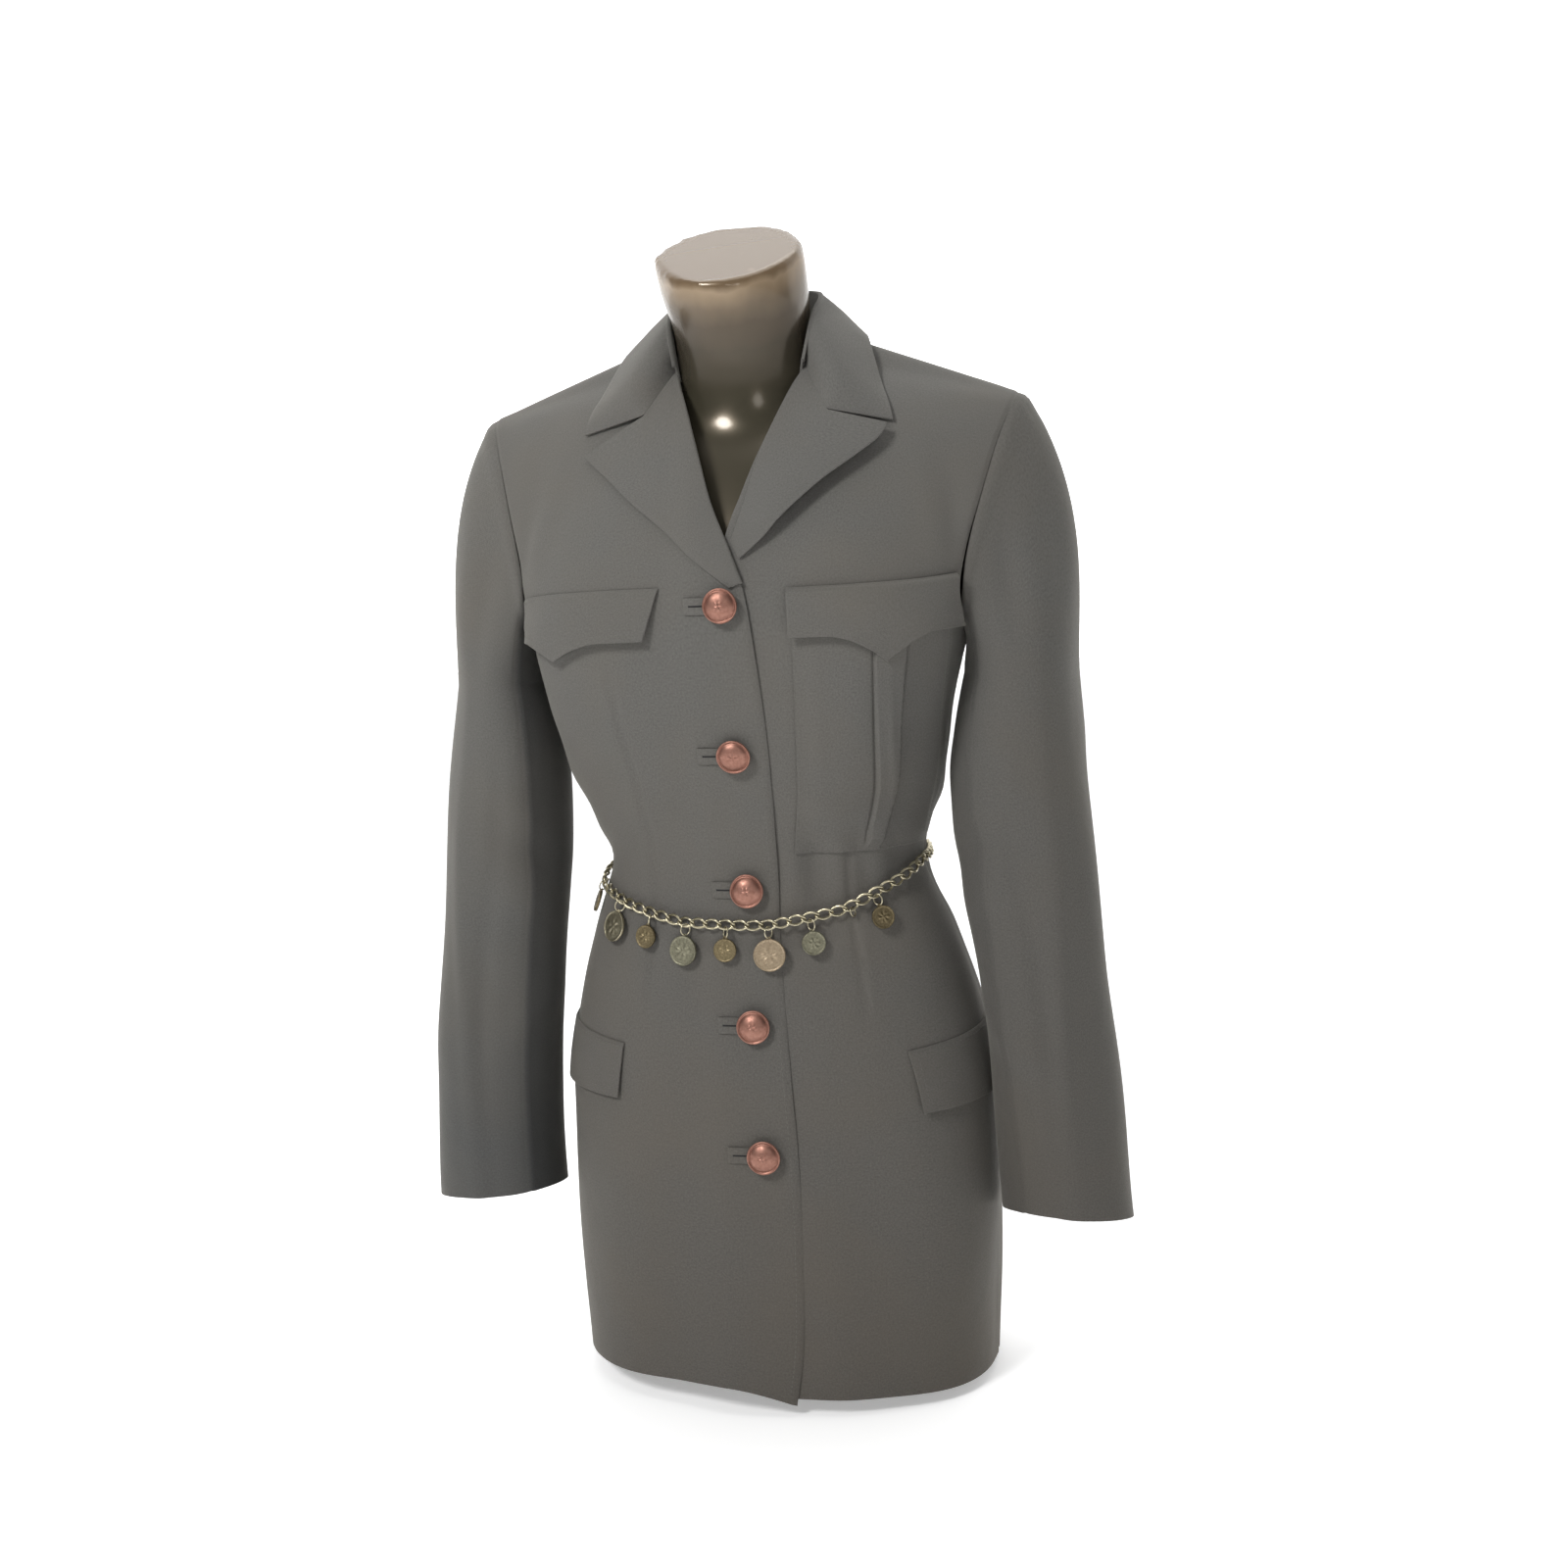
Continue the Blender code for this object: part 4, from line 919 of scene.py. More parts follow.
def collarGrid():
    w = np.linspace(0, len(collarTable) - 1, collar["along"])
    rows = curveThrough(collarTable, w).reshape(-1, 3, 3) * mm
    roll, middle, edge = rows[:, 0, None], rows[:, 1, None], rows[:, 2, None]
    h = np.linspace(1, 0, collar["fall"])[None, :, None]
    straight = roll + (middle - roll) * np.minimum(2 * h, 1) + (edge - middle) * np.maximum(2 * h - 1, 0)
    curved = roll * (1 - h) * (1 - 2 * h) + middle * 4 * h * (1 - h) + edge * h * (2 * h - 1)
    inner = (ease(w, 0, 0.8) * ease(10 - w, 0, 0.8))[:, None, None]
    fall = straight + (curved - straight) * collar["rounding"] * inner
    for side, end, sign in (("left", 0, 1), ("right", -1, -1)):  # the ends are sewn to the lapels up to the notch
        along = np.minimum(h[0, :, 0], 0.5) * (lapelSet["across"] - 1)
        seam = pathAt(along, np.arange(lapelSet["across"]), gorge[side])
        seam[:, 0] *= sign
        sewn = np.clip(2 - 2 * h[0, :, 0], 0, 1)
        held = fall[end].copy()
        held[h[0, :, 0] > 0.5] = rows[end, 1]
        shift = (seam - held) * sewn[:, None]
        fromEnd = w if end == 0 else 10 - w
        fall = fall + shift[None] * (1 - ease(fromEnd, 0, 0.55))[:, None, None]
    top = rows[:, 0]
    inward = unit(np.stack([-top[:, 0], -0.015 - top[:, 1], np.zeros(len(top))], -1))
    turns = np.linspace(0.08 * pi, pi, collar["roll"])
    radius = collar["rollRadius"]
    up = np.array([0, 0, 1.0])
    centre = top + inward * radius
    rolled = np.stack([centre - inward * radius * cos(t) + up * radius * sin(t) for t in turns], axis=1)
    feet = np.array([neckEdge(face, level) for face, level, place in standRows])
    feet = np.concatenate([feet, feet[-2::-1] * np.array([-1, 1, 1])])
    places = [place for face, level, place in standRows]
    places = np.array(places + [10 - p for p in places[-2::-1]])
    foot = curveThrough(feet, np.interp(w, places, np.arange(len(places))))
    foot = foot + inward * 1.8 * mm + np.array([0, 0, -0.003])
    share = np.linspace(0, 1, collar["stand"] + 1)[1:]
    stand = np.stack([rolled[:, -1] * (1 - s) + foot * s for s in share], axis=1)
    grid = np.concatenate([fall, rolled, stand], axis=1).transpose(1, 0, 2)
    return grid, collar["fall"]


grid, fallRows = collarGrid()
fallLift = gridOut(grid)[:fallRows]
sideways = np.arange(collar["along"])[None, :] / collar["along"]
down = np.linspace(1, 0, fallRows)[:, None]
grid[:fallRows] += fallLift * (0.0010 * np.sin(sideways * 34 + 0.5) * down * down)[..., None]
grid = leaned(grid)
sew("collarCloth", grid, collar, ["collar_fall", "collar_stand"], 0.00045)
for edge, endInset in (("low", collar["inset"]), ("left", 0.010), ("right", 0.010)):
    stitchLines.append(seamRun(grid[:fallRows], edge, collar["inset"], collar["inset"], endInset))
print("collar folded")

# chest flaps, each with a curved point
chestFlap = {"start": 16, "end": 78, "top": 607, "endDrop": 33, "tipDrop": {"right": 45, "left": 52},
             "tipWidth": 0.19, "tipAt": {"right": 0.53, "left": 0.46},
             "tilt": {"right": (3.5, -2, -1), "left": (1, 7, 2.5)},
             "slant": {"right": 4.4, "left": 0.4},
             "columns": 90, "rows": 42, "cloth": 1.3 * mm, "inset": 5.5 * mm,
             "stands": {"right": (2.2, 7.2), "left": (5.4, 8.6)}, "sewn": 0.9 * mm,
             "cutWidth": 0.17, "cutLength": 0.055}


def flapGrid(turns, tops, bottoms, lifts, rows, side):
    v = np.linspace(0, 1, rows)[:, None]
    z = (bottoms + (tops - bottoms) * v) * mm
    turn = np.broadcast_to(turns, z.shape)
    lift = (lifts[0] + (lifts[1] - lifts[0]) * (1 - v) ** 1.4) * mm
    level = levelAt(turn, z)
    return overCloth(turn, level, np.broadcast_to(lift, z.shape), side)


for side in ("right", "left"):
    f = chestFlap
    shares = np.linspace(0, 1, f["columns"])
    turns = f["start"] + (f["end"] - f["start"]) * shares
    reach = np.clip(1 - np.abs(shares - f["tipAt"][side]) / f["tipWidth"] / 1.6, 0, 1) ** 1.6
    tilt = f["tilt"][side]
    tops = f["top"] + tilt[0] + (tilt[1] - tilt[0]) * shares ** 1.6
    bottoms = f["top"] - f["endDrop"] - (f["tipDrop"][side] - f["endDrop"]) * reach + tilt[2] * shares
    down = (1 - np.linspace(0, 1, f["rows"]))[:, None]
    turns = turns[None, :] + f["slant"][side] * down * (1 - shares[None, :])
    base, stand = f["stands"][side]
    grid = flapGrid(turns, tops[None, :], bottoms[None, :], (base, stand), f["rows"],
                    wearing[side])
    tuck = ease(1 - np.linspace(0, 1, f["rows"]), 0, 0.10)[:, None, None]
    outs = gridOut(grid)
    grid = grid - outs * (base * mm - f["sewn"]) * (1 - tuck) * 0.8
    grid = placed(grid, side == "right")
    sew(f"{side}ChestFlapCloth", grid, f, [f"{side}_chest_flap"], 0.0005)
    flapStitches(grid, f["inset"])
print("chest flaps sewn")

# patch pocket on the wearer's left chest, with a box pleat
pocket = {"start": 17, "endTop": 74, "endBottom": 82, "top": 598, "bottom": 417, "lift": 2.2,
          "columns": 150, "rows": 96, "cloth": 1.3 * mm, "inset": (1.6 * mm, 7.2 * mm),
          "pleatStart": 0.40, "pleatEnd": 0.62, "pleatRaise": 2.7, "cutWidth": 0.19, "cutLength": 0.19}
v = np.linspace(0, 1, pocket["rows"])[:, None]
share = np.linspace(0, 1, pocket["columns"])[None, :]
z = (pocket["bottom"] + (pocket["top"] - pocket["bottom"]) * v) * mm + 0 * share
end = pocket["endBottom"] + (pocket["endTop"] - pocket["endBottom"]) * v
turn = pocket["start"] + (end - pocket["start"]) * share
level = levelAt(turn, z)
wander = 0.006 * np.sin(v * 7)
pleatRidge = ease(share, pocket["pleatStart"] - 0.004, pocket["pleatStart"] + 0.006)
pleatEnd = pocket["pleatEnd"] - 0.13 * (1 - v) ** 1.2
pleatRidge = pleatRidge * (1 - ease(share, pleatEnd - 0.006, pleatEnd + 0.004))
opens = 1 + 1.3 * bump(v, 0.45, 0.30)
lift = pocket["lift"] + pocket["pleatRaise"] * pleatRidge * opens
lift = lift + 0.8 * bump(share, 0.50, 0.030) * bump(v, 0.45, 0.25)
lift = lift - 1.0 * (bump(share, pocket["pleatStart"] - 0.010, 0.007) + bump(share, pleatEnd + 0.012, 0.007))
lift = lift + 1.2 * np.sin(pi * v) * ease(share, 0.03, 0.12) * (1 - ease(share, 0.9, 0.99))
border = np.minimum(np.minimum(share, 1 - share) * 12, np.minimum(v, 1 - v) * 16)
lift = 1.5 + (lift - 1.5) * ease(border, 0, 1)
pocketGrid = placed(overCloth(turn, level, lift * mm, -1.0), False)
sew("leftPocketCloth", pocketGrid, pocket, ["left_chest_pocket"], 0.0004)
for inset in pocket["inset"]:
    for edge, endInset in (("left", 0.004), ("right", 0.004), ("low", inset)):
        stitchLines.append(seamRun(pocketGrid, edge, inset, inset, endInset))
print("pocket sewn")

# hip flaps run round to the side seam and a little past it
hipFlap = {"starts": {"right": (39.5, 40.0), "left": (42.5, 45.5)}, "end": 99, "frontTop": 267, "backTop": 278,
           "drops": {"right": (41, 53), "left": (46, 55)},
           "columns": 84, "rows": 34, "cloth": 1.3 * mm, "inset": 6 * mm, "raised": {"right": 7, "left": 4},
           "cutWidth": 0.155, "cutLength": 0.05}
for side in ("right", "left"):
    f = hipFlap
    v = np.linspace(0, 1, f["rows"])[:, None]
    share = np.linspace(0, 1, f["columns"])[None, :]
    startTop, startBottom = f["starts"][side]
    start = startBottom + (startTop - startBottom) * v
    frontDrop, backDrop = f["drops"][side]
    drop = frontDrop + (backDrop - frontDrop) * share
    turn = start + (f["end"] - start) * share
    z = (f["frontTop"] + (f["backTop"] - f["frontTop"]) * share - drop * (1 - v) + f["raised"][side]) * mm
    lift = 2.0 + 1.6 * (1 - v) ** 1.5 + 0.5 * np.sin(share * 9 + 1) * (1 - v)
    lift = lift - 1.0 * (1 - ease(1 - v, 0, 0.08))
    level = levelAt(turn, z)
    grid = placed(overCloth(turn, level, lift * mm + 0 * share, wearing[side]), side == "right")
    sew(f"{side}HipFlapCloth", grid, f, [f"{side}_hip_flap"], 0.0005)
    flapStitches(grid, f["inset"])
rightGrid = frontPieces["right"]
stitchLines.append(seamRun(rightGrid[: int(len(rightGrid) * 0.72)], "right", 6 * mm, 0.004, 0.002))
stitchLine("topstitching", stitchLines)
print("hip flaps and topstitching sewn")


# metals, a little worn
def metal(name, colours, roughness, wornScale, depth):
    made, tree, shader = newMaterial(name)
    worn = noise(tree, objectPlace(tree), wornScale, 5, 0.6)
    feed(tree, shader, {
        "Base Color": ramp(tree, worn, [(0.32, colours[0]), (0.68, colours[1])]),
        "Roughness": ramp(tree, worn, [(0.30, [min(1, roughness + 0.18)]), (0.70, [roughness])]),
        "Normal": bumped(tree, worn, 0.4, depth), "Metallic": 1.0})
    return made


copper = metal("mattCopper", [(0.285, 0.142, 0.108), (0.345, 0.182, 0.140)], 0.38, 420, 0.00003)
paleGold = metal("paleGold", [(0.38, 0.34, 0.23), (0.60, 0.55, 0.40)], 0.27, 420, 0.00006)
coinBrass = metal("coinBrass", [(0.15, 0.122, 0.07), (0.25, 0.20, 0.115)], 0.40, 700, 0.00004)
coinGrey = metal("coinGrey", [(0.17, 0.162, 0.115), (0.28, 0.27, 0.195)], 0.40, 700, 0.00004)
coinTan = metal("coinTan", [(0.27, 0.21, 0.14), (0.42, 0.335, 0.235)], 0.40, 700, 0.00004)


def lathe(name, profile, sides):  # rings of radius and height in mm, from the back to the front
    radius, height = profile[0]
    bpy.ops.mesh.primitive_circle_add(vertices=sides, radius=radius * mm, fill_type="NGON", location=(0, 0, 0))
    piece = bpy.context.object
    piece.name = piece.data.name = name
    bpy.ops.object.mode_set(mode="EDIT")
    bpy.ops.mesh.select_all(action="SELECT")
    bpy.ops.transform.translate(value=(0, 0, height * mm))
    for nextRadius, nextHeight in profile[1:]:
        bpy.ops.mesh.extrude_region_move(TRANSFORM_OT_translate={"value": (0, 0, (nextHeight - height) * mm)})
        bpy.ops.transform.resize(value=(nextRadius / radius, nextRadius / radius, 1),
                                 center_override=(0, 0, nextHeight * mm))
        radius, height = nextRadius, nextHeight
    bpy.ops.mesh.select_all(action="SELECT")
    bpy.ops.mesh.normals_make_consistent(inside=False)
    bpy.ops.object.mode_set(mode="OBJECT")
    bpy.ops.object.shade_smooth_by_angle(angle=radians(50))
    return piece


def discPoints(piece):
    co = np.zeros(len(piece.data.vertices) * 3)
    piece.data.vertices.foreach_get("co", co)
    return co.reshape(-1, 3)


def polar(points):
    return np.hypot(points[:, 0], points[:, 1]), np.arctan2(points[:, 1], points[:, 0])


def setPoints(piece, points):
    piece.data.vertices.foreach_set("co", np.ascontiguousarray(points, dtype=np.float32).reshape(-1))
    piece.data.update()


def stand(piece, centre, ahead, out, down):  # local X goes ahead, Y up against down, Z out
    frameMatrix = np.stack([ahead, -down, out], -1)
    setPoints(piece, discPoints(piece) @ frameMatrix.T + centre)


# buttons: a low dome with a thin raised rim and a generic worn crest
buttonPlaces = ((0, 597), (0, 490), (0.6, 391), (1.3, 293), (7, 199))
button = {"lift": 4.3, "sides": 72, "tilts": (8, -11, 5, -7, 10),
          "profile": ((2.2, -2.2), (2.2, 0), (10.6, 0), (11.9, 0.35), (12.45, 1.1), (12.35, 1.8), (11.95, 2.25),
                      (11.4, 2.3), (10.95, 1.95), (10.6, 1.6), (10.2, 1.85), (9.4, 2.75), (8.2, 3.6), (6.4, 4.45),
                      (4.4, 5.0), (2.4, 5.3), (1.0, 5.4), (0.3, 5.42))}


def crest(points):  # a generic worn relief: a five-petalled flower inside a fine ring
    radius, angle = polar(points)
    radius = radius / mm
    front = points[:, 2] > 2.2 * mm
    ringLine = 0.13 * bump(radius, 4.3, 0.35)
    petals = 0.46 * bump(radius, 1.9, 1.05) * (0.5 + 0.5 * np.cos(angle * 5 + 0.4)) ** 1.5
    points[:, 2] += (ringLine + petals) * mm * front
    return points


def buttonFrame(x, z):
    centre = overFront(-x * mm, z * mm, np.array(button["lift"] * mm), 1.0, True)
    turn, level = findFront(-x * mm, z * mm)
    out = bodyOut("front", turn, level)
    centre = np.array([-centre[0], centre[1], centre[2]])
    out = unit(np.array([-out[0], out[1], out[2]]))
    ahead = unit(np.cross([0, 0, 1.0], out))
    return leaned(centre[None])[0], ahead, out, np.cross(ahead, out)


for number, (x, z) in enumerate(buttonPlaces, 1):
    piece = lathe(f"domedButton{number}", button["profile"], button["sides"])
    modify(piece, "SUBSURF", levels=1, render_levels=1)
    applyModifiers(piece)
    setPoints(piece, crest(discPoints(piece)))
    centre, ahead, out, down = buttonFrame(x, z)
    tilt = radians(button["tilts"][number - 1])
    turnedAhead = ahead * cos(tilt) + down * sin(tilt)
    stand(piece, centre, turnedAhead, out, -np.cross(out, turnedAhead))
    paint(piece, copper)
    standFor(piece, "dress", [f"button_{number}"])
print("buttons set")

# bound buttonholes: two lips of wool, with painted shadow, near black, on the faces of the slit between them
slitShadowPaint, slitTree, slitShader = newMaterial("slitShadow")
feed(slitTree, slitShader, {"Base Color": (0.012, 0.012, 0.012, 1), "Roughness": 0.9})
welt = {"inner": -3, "outer": 27, "height": 11, "lift": 1.25, "lip": 0.36, "columns": 44, "rows": 49,
        "cloth": 0.9 * mm, "cutWidth": 0.032, "cutLength": 0.018,
        "slitHalf": 0.00095, "slitStart": 0.0045, "slitEnd": 0.0265}
for number, (x, z) in enumerate(buttonPlaces, 1):
    v = np.linspace(-0.5, 0.5, welt["rows"])[:, None]
    u = np.linspace(0, 1, welt["columns"])[None, :]
    across = welt["outer"] + (welt["inner"] - welt["outer"]) * u
    lips = np.clip(np.sin(pi * np.abs(v) / 0.5), 0, 1) ** 0.6
    ends = ease(np.minimum(u, 1 - u), 0, 0.05)
    slit = bump(v, 0, 0.105) * ease(1 - u, 0.10, 0.20)
    rise = welt["lift"] - 1.0 + (0.35 + welt["lip"] * lips) * (0.35 + 0.65 * ends) - 0.25 * slit
    grid = overFront((across - x) * mm + 0 * v, (z + v * welt["height"]) * mm + 0 * u, rise * mm + 0 * u, 1.0, True)
    piece = sew(f"boundButtonhole{number}", placed(grid, True), welt,
                [f"buttonhole_{number}"])
    piece.data.materials.append(slitShadowPaint)
    flatPlaces = piece.data.uv_layers["cloth"].data
    middle = 0.5 * max(spot.uv[1] for spot in flatPlaces)
    for face in piece.data.polygons:
        u0 = sum(flatPlaces[k].uv[0] for k in face.loop_indices) / face.loop_total
        v0 = sum(flatPlaces[k].uv[1] for k in face.loop_indices) / face.loop_total
        inSlit = abs(v0 - middle) < welt["slitHalf"] and welt["slitStart"] < u0 < welt["slitEnd"]
        # faces inside the slit take the painted shadow
        face.material_index = int(inSlit)
print("buttonholes bound")

# chain belt: curb links on the same line as the pattern's belt
chainHeights = ((-180, 408), (-120, 402), (-90, 393), (-54, 380), (-22, 367), (0, 365.5), (7, 366),
                (31, 375), (46, 386), (78, 404), (120, 408), (180, 408))
chain = {"links": 68, "clear": 3.9, "wire": 0.95, "long": 6.35, "high": 3.3, "twist": 45, "hang": (26, 0.4),
         "pathSteps": 30, "wireSteps": 9}


def chainPlace(turn, drop=0.0, lift=0.0):
    turn = np.atleast_1d(np.asarray(turn, float))
    z = (np.interp(turn, [t for t, h in chainHeights], [h for t, h in chainHeights]) - drop) * mm
    size = np.abs(turn)
    level = levelAt(size, z)
    x = around(size, level)[..., 0]
    rise = lap(np.abs(x) - 12 * mm) + (chain["clear"] - 0.4 * ease(size, 45, 62) + lift) * mm
    point = around(size, level, rise)
    point[..., 0] = np.where(turn >= 0, point[..., 0], -point[..., 0])
    return point


chainTurns = np.linspace(-180, 180, 241)
chainFine = chainPlace(chainTurns)
chainRun = lengthAlong(chainFine)
chainStops = np.interp(chainRun[-1] * np.arange(2 * chain["links"]) / (2 * chain["links"]), chainRun, chainTurns)


def chainFrame(turn):
    top = chainPlace(turn)[0]
    low = chainPlace(turn, *chain["hang"])[0]
    ahead = unit(chainPlace(turn + 1)[0] - chainPlace(turn - 1)[0])
    out = unit(np.cross(ahead, top - low))
    return top, ahead, out, np.cross(ahead, out)


bpy.ops.mesh.primitive_torus_add(major_segments=chain["pathSteps"], minor_segments=chain["wireSteps"],
                                 major_radius=5 * mm, minor_radius=chain["wire"] * mm, location=(0, 0, 0))
link = bpy.context.object
linkPoints = discPoints(link)
linkFaces = [tuple(face.vertices) for face in link.data.polygons]
bpy.data.objects.remove(link)
radius, angle = polar(linkPoints)
wireOut = radius - 5 * mm
centreX, centreY = chain["long"] * mm * np.cos(angle), chain["high"] * mm * np.sin(angle)
normalX = np.cos(angle) * chain["high"]
normalY = np.sin(angle) * chain["long"]
size = np.hypot(normalX, normalY)
flatX = centreX + wireOut * normalX / size
flatY = centreY + wireOut * normalY / size
twist = radians(chain["twist"]) * np.clip(flatX / (chain["long"] * mm), -1.15, 1.15)
linkShape = np.stack([flatX, flatY * np.cos(twist) - linkPoints[:, 2] * np.sin(twist),
                      flatY * np.sin(twist) + linkPoints[:, 2] * np.cos(twist)], -1)
allPoints, allFaces = [], []
for k in range(chain["links"]):
    top, ahead, out, down = chainFrame(chainStops[2 * k + 1])
    basis = np.stack([ahead, -down, out], -1)
    before = sum(len(p) for p in allPoints)
    allPoints.append(linkShape @ basis.T + leaned(top[None])[0])
    allFaces += [tuple(v + before for v in face) for face in linkFaces]
curbChain = meshPiece("curbChain", np.vstack(allPoints), allFaces)
paint(curbChain, paleGold, 80)
standFor(curbChain, "dress", ["chain_belt"])
print("chain linked")

# coin charms, each on its jump ring, swinging on its own body
charms = (  # turn round the body, radius in mm (none for the bare ring) and finish
    (-76, 8.5, coinBrass), (-52, 11.5, paleGold), (-35, 8.5, coinBrass), (-22, 11.0, coinGrey), (-8, 8.5, coinBrass),
    (7, 11.8, coinTan), (22, 8.7, coinGrey), (36, None, paleGold), (46.5, 8.5, coinBrass),
)
charm = {"ringTop": 1.4, "ringBottom": 9.6, "ringHalf": 3.5, "ringWire": 0.52, "yaw": 52,
         "coinTop": 10.15, "thick": 1.7, "eye": 1.35, "eyeWire": 0.42, "bareLess": 1.6, "sides": 72,
         "faceRings": (0.10, 0.20, 0.32, 0.44, 0.56, 0.68, 0.80)}


def coinRelief(points, radius):
    distance, angle = polar(points)
    distance = distance / mm
    inner = radius - 1.5
    beads = 0.16 * bump(distance, inner, 0.35) * (0.5 + 0.5 * np.cos(angle * 36))
    lineRing = 0.12 * bump(distance, inner * 0.80, 0.30)
    petals = 0.42 * bump(distance, inner * 0.42, inner * 0.20) * (0.5 + 0.5 * np.cos(angle * 6 + 0.6))
    boss = 0.40 * bump(distance, 0, inner * 0.16)
    flat = (distance < radius - 1.2)
    points[:, 2] += np.sign(points[:, 2]) * (beads + lineRing + petals + boss) * mm * flat
    return points


def ringPiece(name, long, half, wire, steps=40):
    bpy.ops.mesh.primitive_torus_add(major_segments=steps, minor_segments=10, major_radius=1, minor_radius=0.1,
                                     location=(0, 0, 0))
    piece = bpy.context.object
    piece.name = piece.data.name = name
    points = discPoints(piece)
    radius, angle = polar(points)
    wireOut = (radius - 1) * 10 * wire * mm
    normal = np.stack([np.cos(angle) * long, np.sin(angle) * half], -1)
    normal /= np.linalg.norm(normal, axis=1, keepdims=True)
    flat = np.stack([half * np.cos(angle), long * np.sin(angle)], -1) * mm + normal * wireOut[:, None]
    setPoints(piece, np.column_stack([flat, points[:, 2] * 10 * wire * mm]))
    return piece


for number, (near, radius, finish) in enumerate(charms, 1):
    stops = chainStops[1::2]
    turn = stops[np.argmin(np.abs(stops - near))]
    top, along, outward, below = chainFrame(turn)
    down = unit(chainPlace(turn, *chain["hang"])[0] - top)
    out = unit(outward - down * (outward @ down))
    ahead = np.cross(-down, out)
    top = leaned(top[None])[0]
    yaw = radians(charm["yaw"] * (1 if number % 2 else -1))
    ringAhead = ahead * cos(yaw) + out * sin(yaw)
    ringOut = np.cross(ringAhead, -down)
    lowest = charm["ringBottom"] - (charm["bareLess"] if radius is None else 0)
    long = (lowest - charm["ringTop"]) / 2
    ring = ringPiece(f"jumpRing{number}", long, charm["ringHalf"], charm["ringWire"])
    stand(ring, top + down * (charm["ringTop"] + long) * mm, ringAhead, ringOut, down)
    parts = [ring]
    if radius:
        half = charm["thick"] / 2
        face = [(0.3, half)] + [(radius * share, half) for share in charm["faceRings"]]
        face += [(radius - 1.3, half), (radius - 1.0, half + 0.25), (radius - 0.25, half + 0.28), (radius, half)]
        coinPiece = lathe(f"coin{number}", [(across, -height) for across, height in face] + face[::-1],
                          charm["sides"])
        modify(coinPiece, "SUBSURF", subdivision_type="SIMPLE", levels=1, render_levels=1)
        applyModifiers(coinPiece)
        setPoints(coinPiece, coinRelief(discPoints(coinPiece), radius))
        stand(coinPiece, top + down * (charm["coinTop"] + radius) * mm, ahead, out, down)
        eye = ringPiece(f"eye{number}", charm["eye"], charm["eye"], charm["eyeWire"], steps=24)
        stand(eye, top + down * (charm["coinTop"] - 0.05) * mm, ahead, out, down)
        parts += [coinPiece, eye]
    for part in parts:
        paint(part, paleGold if part is ring else finish)
    bpy.ops.object.select_all(action="DESELECT")
    for part in parts:
        part.select_set(True)
    bpy.context.view_layer.objects.active = parts[0]
    if len(parts) > 1:
        bpy.ops.object.join()
    whole = bpy.context.object
    whole.name = whole.data.name = f"hangingCharm{number}"
    bpy.ops.object.shade_smooth_by_angle(angle=radians(50))
    standFor(whole, f"charm_{number}", [f"charm_{number}"])
print("charms hung")

# torso form: the body and neck joined and softened into one moulded shell
# rows of height, middle x, half width, front y, back y, squareness and slope
torsoRings = np.array((
    (0, 0, 136, -90, 66, 2.2, 0), (60, 0, 147, -101, 79, 2.2, 0), (130, 0, 152, -109, 87, 2.2, 0),
    (200, 0, 153, -111, 91, 2.2, 0), (250, 0, 149, -108, 88, 2.2, 0), (310, 0, 136, -101, 76, 2.2, 0),
    (365, 0, 120, -94, 60, 2.2, 0), (405, 0, 109, -91, 50, 2.2, 0), (440, 0, 116, -95, 51, 2.2, 0),
    (500, 0, 137, -108, 62, 2.3, 0), (555, 0, 148, -121, 71, 2.4, 0), (600, 0, 152, -126, 76, 2.5, 0),
    (640, 0, 151, -118, 77, 2.5, 0), (680, 0, 156, -100, 71, 2.3, 0), (715, 0, 163, -79, 60, 2.0, 0),
    (740, 0, 166, -55, 41, 1.6, 0), (752, 0, 163, -45, 31, 1.4, 0), (764, 0, 133.5, -38, 23, 1.25, 0),
    (775, 0, 105.5, -33, 17, 1.2, 0), (786, 0, 75.5, -27, 9, 1.2, 0),
), float)
neckRings = np.array((
    (690, 0, 40, -80, 20, 2.0, 0), (745, 0, 48, -74, 20, 2.0, 0), (775, 0, 49.5, -78, 19, 2.0, 0),
    (799, -0.5, 51.5, -86, 16, 2.0, 0.08), (813, -2, 53, -92, 11, 2.0, 0.25), (830, -4.5, 55, -97, 5, 2.0, 0.42),
    (850, -7, 56, -101, 3, 2.0, 0.54),
), float)
form = {"sides": 128, "torsoSteps": 76, "neckSteps": 26, "voxel": 0.0031, "softenFrom": 0.675, "softenTo": 0.815,
        "slope": 0.54, "topHeight": 0.850, "topMiddle": 0.049, "rimDrop": 0.0011, "topOut": (0, -0.475, 0.880),
        "streaks": (42, 42, 7), "streakReach": 0.020, "shadeHeights": (0.79, 0.90),
        "collarbone": {"factor": 0.5, "iterations": 150}, "evenOut": {"factor": 0.5, "iterations": 22}}


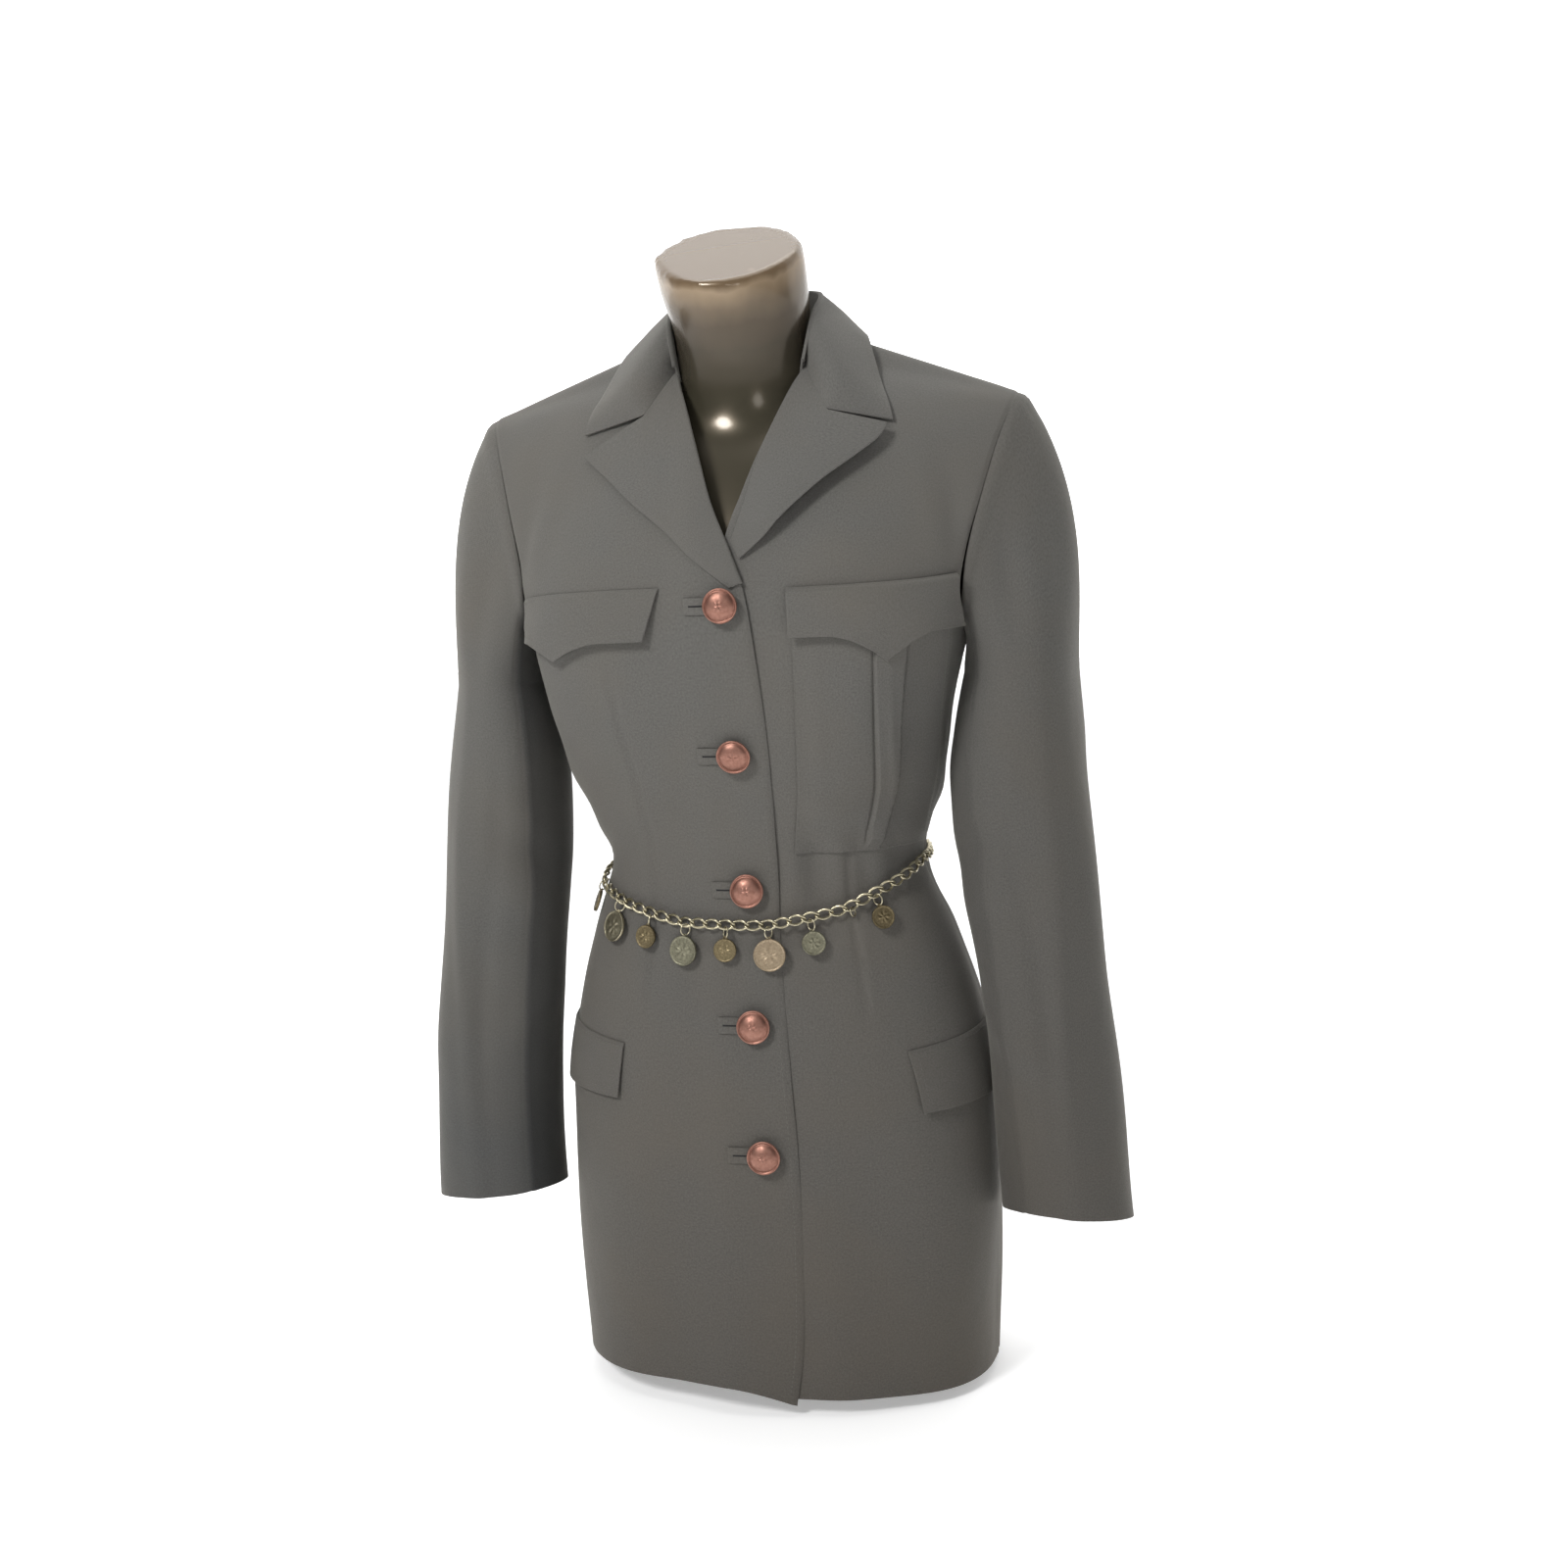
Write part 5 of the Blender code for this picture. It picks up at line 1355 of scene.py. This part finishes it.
def ringedSolid(name, rings, steps, middleY):
    rows = curveThrough(rings, np.linspace(0, len(rings) - 1, steps))
    turns = np.linspace(0, 2 * pi, form["sides"], endpoint=False)
    points, faces = [], []
    for z, xMid, half, yFront, yBack, square, slope in rows:
        middle = (yFront + yBack) / 2 if middleY is None else middleY
        c, s = np.cos(turns), np.sin(turns)
        x = xMid + half * np.sign(s) * np.abs(s) ** (2 / square)
        deep = np.where(c > 0, middle - yFront, yBack - middle)
        y = middle - deep * np.sign(c) * np.abs(c) ** (2 / square)
        if middleY is None:  # the cut comes to a soft point at the throat
            x = x * (1 - 0.12 * ease(z, 800, 847) * np.clip(c, 0, 1) * np.abs(s) * 2)
        points.append(np.stack([x, y, z + slope * (y - middle)], -1) * mm)
    sides = form["sides"]
    for r in range(steps - 1):
        for k in range(sides):
            n = (k + 1) % sides
            faces.append((r * sides + k, r * sides + n, (r + 1) * sides + n, (r + 1) * sides + k))
    faces.append(tuple(range(sides))[::-1])
    faces.append(tuple((steps - 1) * sides + k for k in range(sides)))
    return meshPiece(name, leaned(np.vstack(points)), faces, closed=False)


torso = ringedSolid("torsoShell", torsoRings, form["torsoSteps"], -12)
neck = ringedSolid("neckStump", neckRings, form["neckSteps"], None)
modify(torso, "BOOLEAN", operation="UNION", solver="EXACT", object=neck)
applyModifiers(torso)
bpy.data.objects.remove(neck)
modify(torso, "REMESH", mode="VOXEL", voxel_size=form["voxel"], use_smooth_shade=True)
applyModifiers(torso)
heights = discPoints(torso)[:, 2]
group = torso.vertex_groups.new(name="collarbone")
weights = ease(heights, form["softenFrom"], form["softenFrom"] + 0.03)
weights = weights * (1 - ease(heights, form["softenTo"] - 0.02, form["softenTo"]))
for index in np.nonzero(weights > 0.01)[0]:
    group.add([int(index)], float(weights[index]), "REPLACE")
modify(torso, "SMOOTH", vertex_group="collarbone", **form["collarbone"])
modify(torso, "SMOOTH", **form["evenOut"])
applyModifiers(torso)
flat = discPoints(torso)
flat[:, 2] = np.maximum(flat[:, 2], 0)
# the neck's sloping top is one flat face inside its round rim
cut = form["topHeight"] + form["slope"] * (flat[:, 1] + form["topMiddle"])
facing = np.array([vertex.normal @ Vector(form["topOut"]) for vertex in torso.data.vertices])
onTop = ease(facing, 0.93, 0.985) * ease(flat[:, 2], 0.80, 0.81)
flat[:, 2] += (cut - form["rimDrop"] - flat[:, 2]) * onTop
setPoints(torso, flat)
# the smoky plastic's colour runs by height under the rim's slope, with streaks; its light beige band just below the
# rim is painted light shining through the shell
formPlastic, formTree, formShader = newMaterial("smokyForm")
place = objectPlace(formTree)
split = addNode(formTree, "ShaderNodeSeparateXYZ", {"Vector": place}).outputs
rimHeight = timesPlus(formTree, split["Y"], -form["slope"], split["Z"])
streak = noise(formTree, stretched(formTree, place, form["streaks"]), 1)
streaked = timesPlus(formTree, streak, form["streakReach"], rimHeight)
smokeAndThroughLight = ramp(formTree, spread(formTree, streaked, *form["shadeHeights"]), [
    (0.0, (0.046, 0.041, 0.028)), (0.34, (0.036, 0.030, 0.021)), (0.52, (0.060, 0.046, 0.032)),
    (0.66, (0.130, 0.098, 0.066)), (0.75, (0.225, 0.165, 0.106)), (0.79, (0.270, 0.200, 0.130)),
    (0.835, (0.135, 0.092, 0.054))])
feed(formTree, formShader, {
    "Base Color": smokeAndThroughLight, "Roughness": 0.24, "Specular Tint": (1.0, 0.84, 0.64, 1), "Sheen Weight": 0.05,
    "Sheen Roughness": 0.3, "Sheen Tint": (0.75, 0.58, 0.40, 1), "Coat Weight": 0.3, "Coat Roughness": 0.12})
torso.data.materials.clear()
torso.data.materials.append(formPlastic)
standFor(torso, "dress", ["torso_form"])
print("form moulded")

# floor, light and camera
def paperPlane(name, place, turn, shade, roughness, glow):
    bpy.ops.mesh.primitive_plane_add(size=60, location=place, rotation=(turn, 0, 0))
    plane = bpy.context.object
    plane.name = name
    paper, tree, shader = newMaterial(f"{name}Paper")
    feed(tree, shader, {"Base Color": (shade, shade, shade, 1), "Roughness": roughness,
                        "Emission Color": (1, 1, 1, 1), "Emission Strength": glow})
    plane.data.materials.append(paper)


def roundLight(name, place, aim, width, watts):
    data = bpy.data.lights.new(name, "AREA")
    data.shape = "ELLIPSE"
    data.size = data.size_y = width
    data.energy = watts
    made = newObject(name, data)
    made.location = place
    made.rotation_euler = (Vector(aim) - Vector(place)).to_track_quat("-Z", "Y").to_euler()


paperPlane("studioFloor", (0, 0, 0), 0, 0.92, 0.95, 0.36)
roundLight("keyLight", (-1.05, -1.95, 2.15), (0, 0, 0.55), 0.75, 48)
roundLight("fillLight", (1.1, -2.6, 1.4), (0, 0, 0.55), 0.7, 5)
roundLight("topLight", (0, 0.2, 3.2), (0, 0, 0), 2.6, 36)
world = bpy.data.worlds.new("whiteStudio")
bpy.context.scene.world = world
world.use_nodes = True
feed(world.node_tree, world.node_tree.nodes["Background"], {"Color": (1, 1, 1, 1), "Strength": 0.12})
paperPlane("studioBackdrop", (0, 9, 0), radians(90), 0.9, 0.5, 1.15)

photoCamera = {"place": (0.291, -1.369, 0.63), "aim": (0.011, 0, 0.454), "lens": 41.65, "roll": -2.13}
cameraData = bpy.data.cameras.new("photoCamera")
cameraData.lens = photoCamera["lens"]
cameraData.sensor_width = 36
cameraObject = newObject("photoCamera", cameraData)
cameraObject.location = photoCamera["place"]
look = (Vector(photoCamera["aim"]) - Vector(photoCamera["place"])).to_track_quat("-Z", "Y")
cameraObject.rotation_mode = "QUATERNION"
cameraObject.rotation_quaternion = look @ Quaternion((0, 0, 1), radians(photoCamera["roll"]))
bpy.context.scene.camera = cameraObject
bpy.context.scene.view_settings.view_transform = "Standard"
print("stage set")
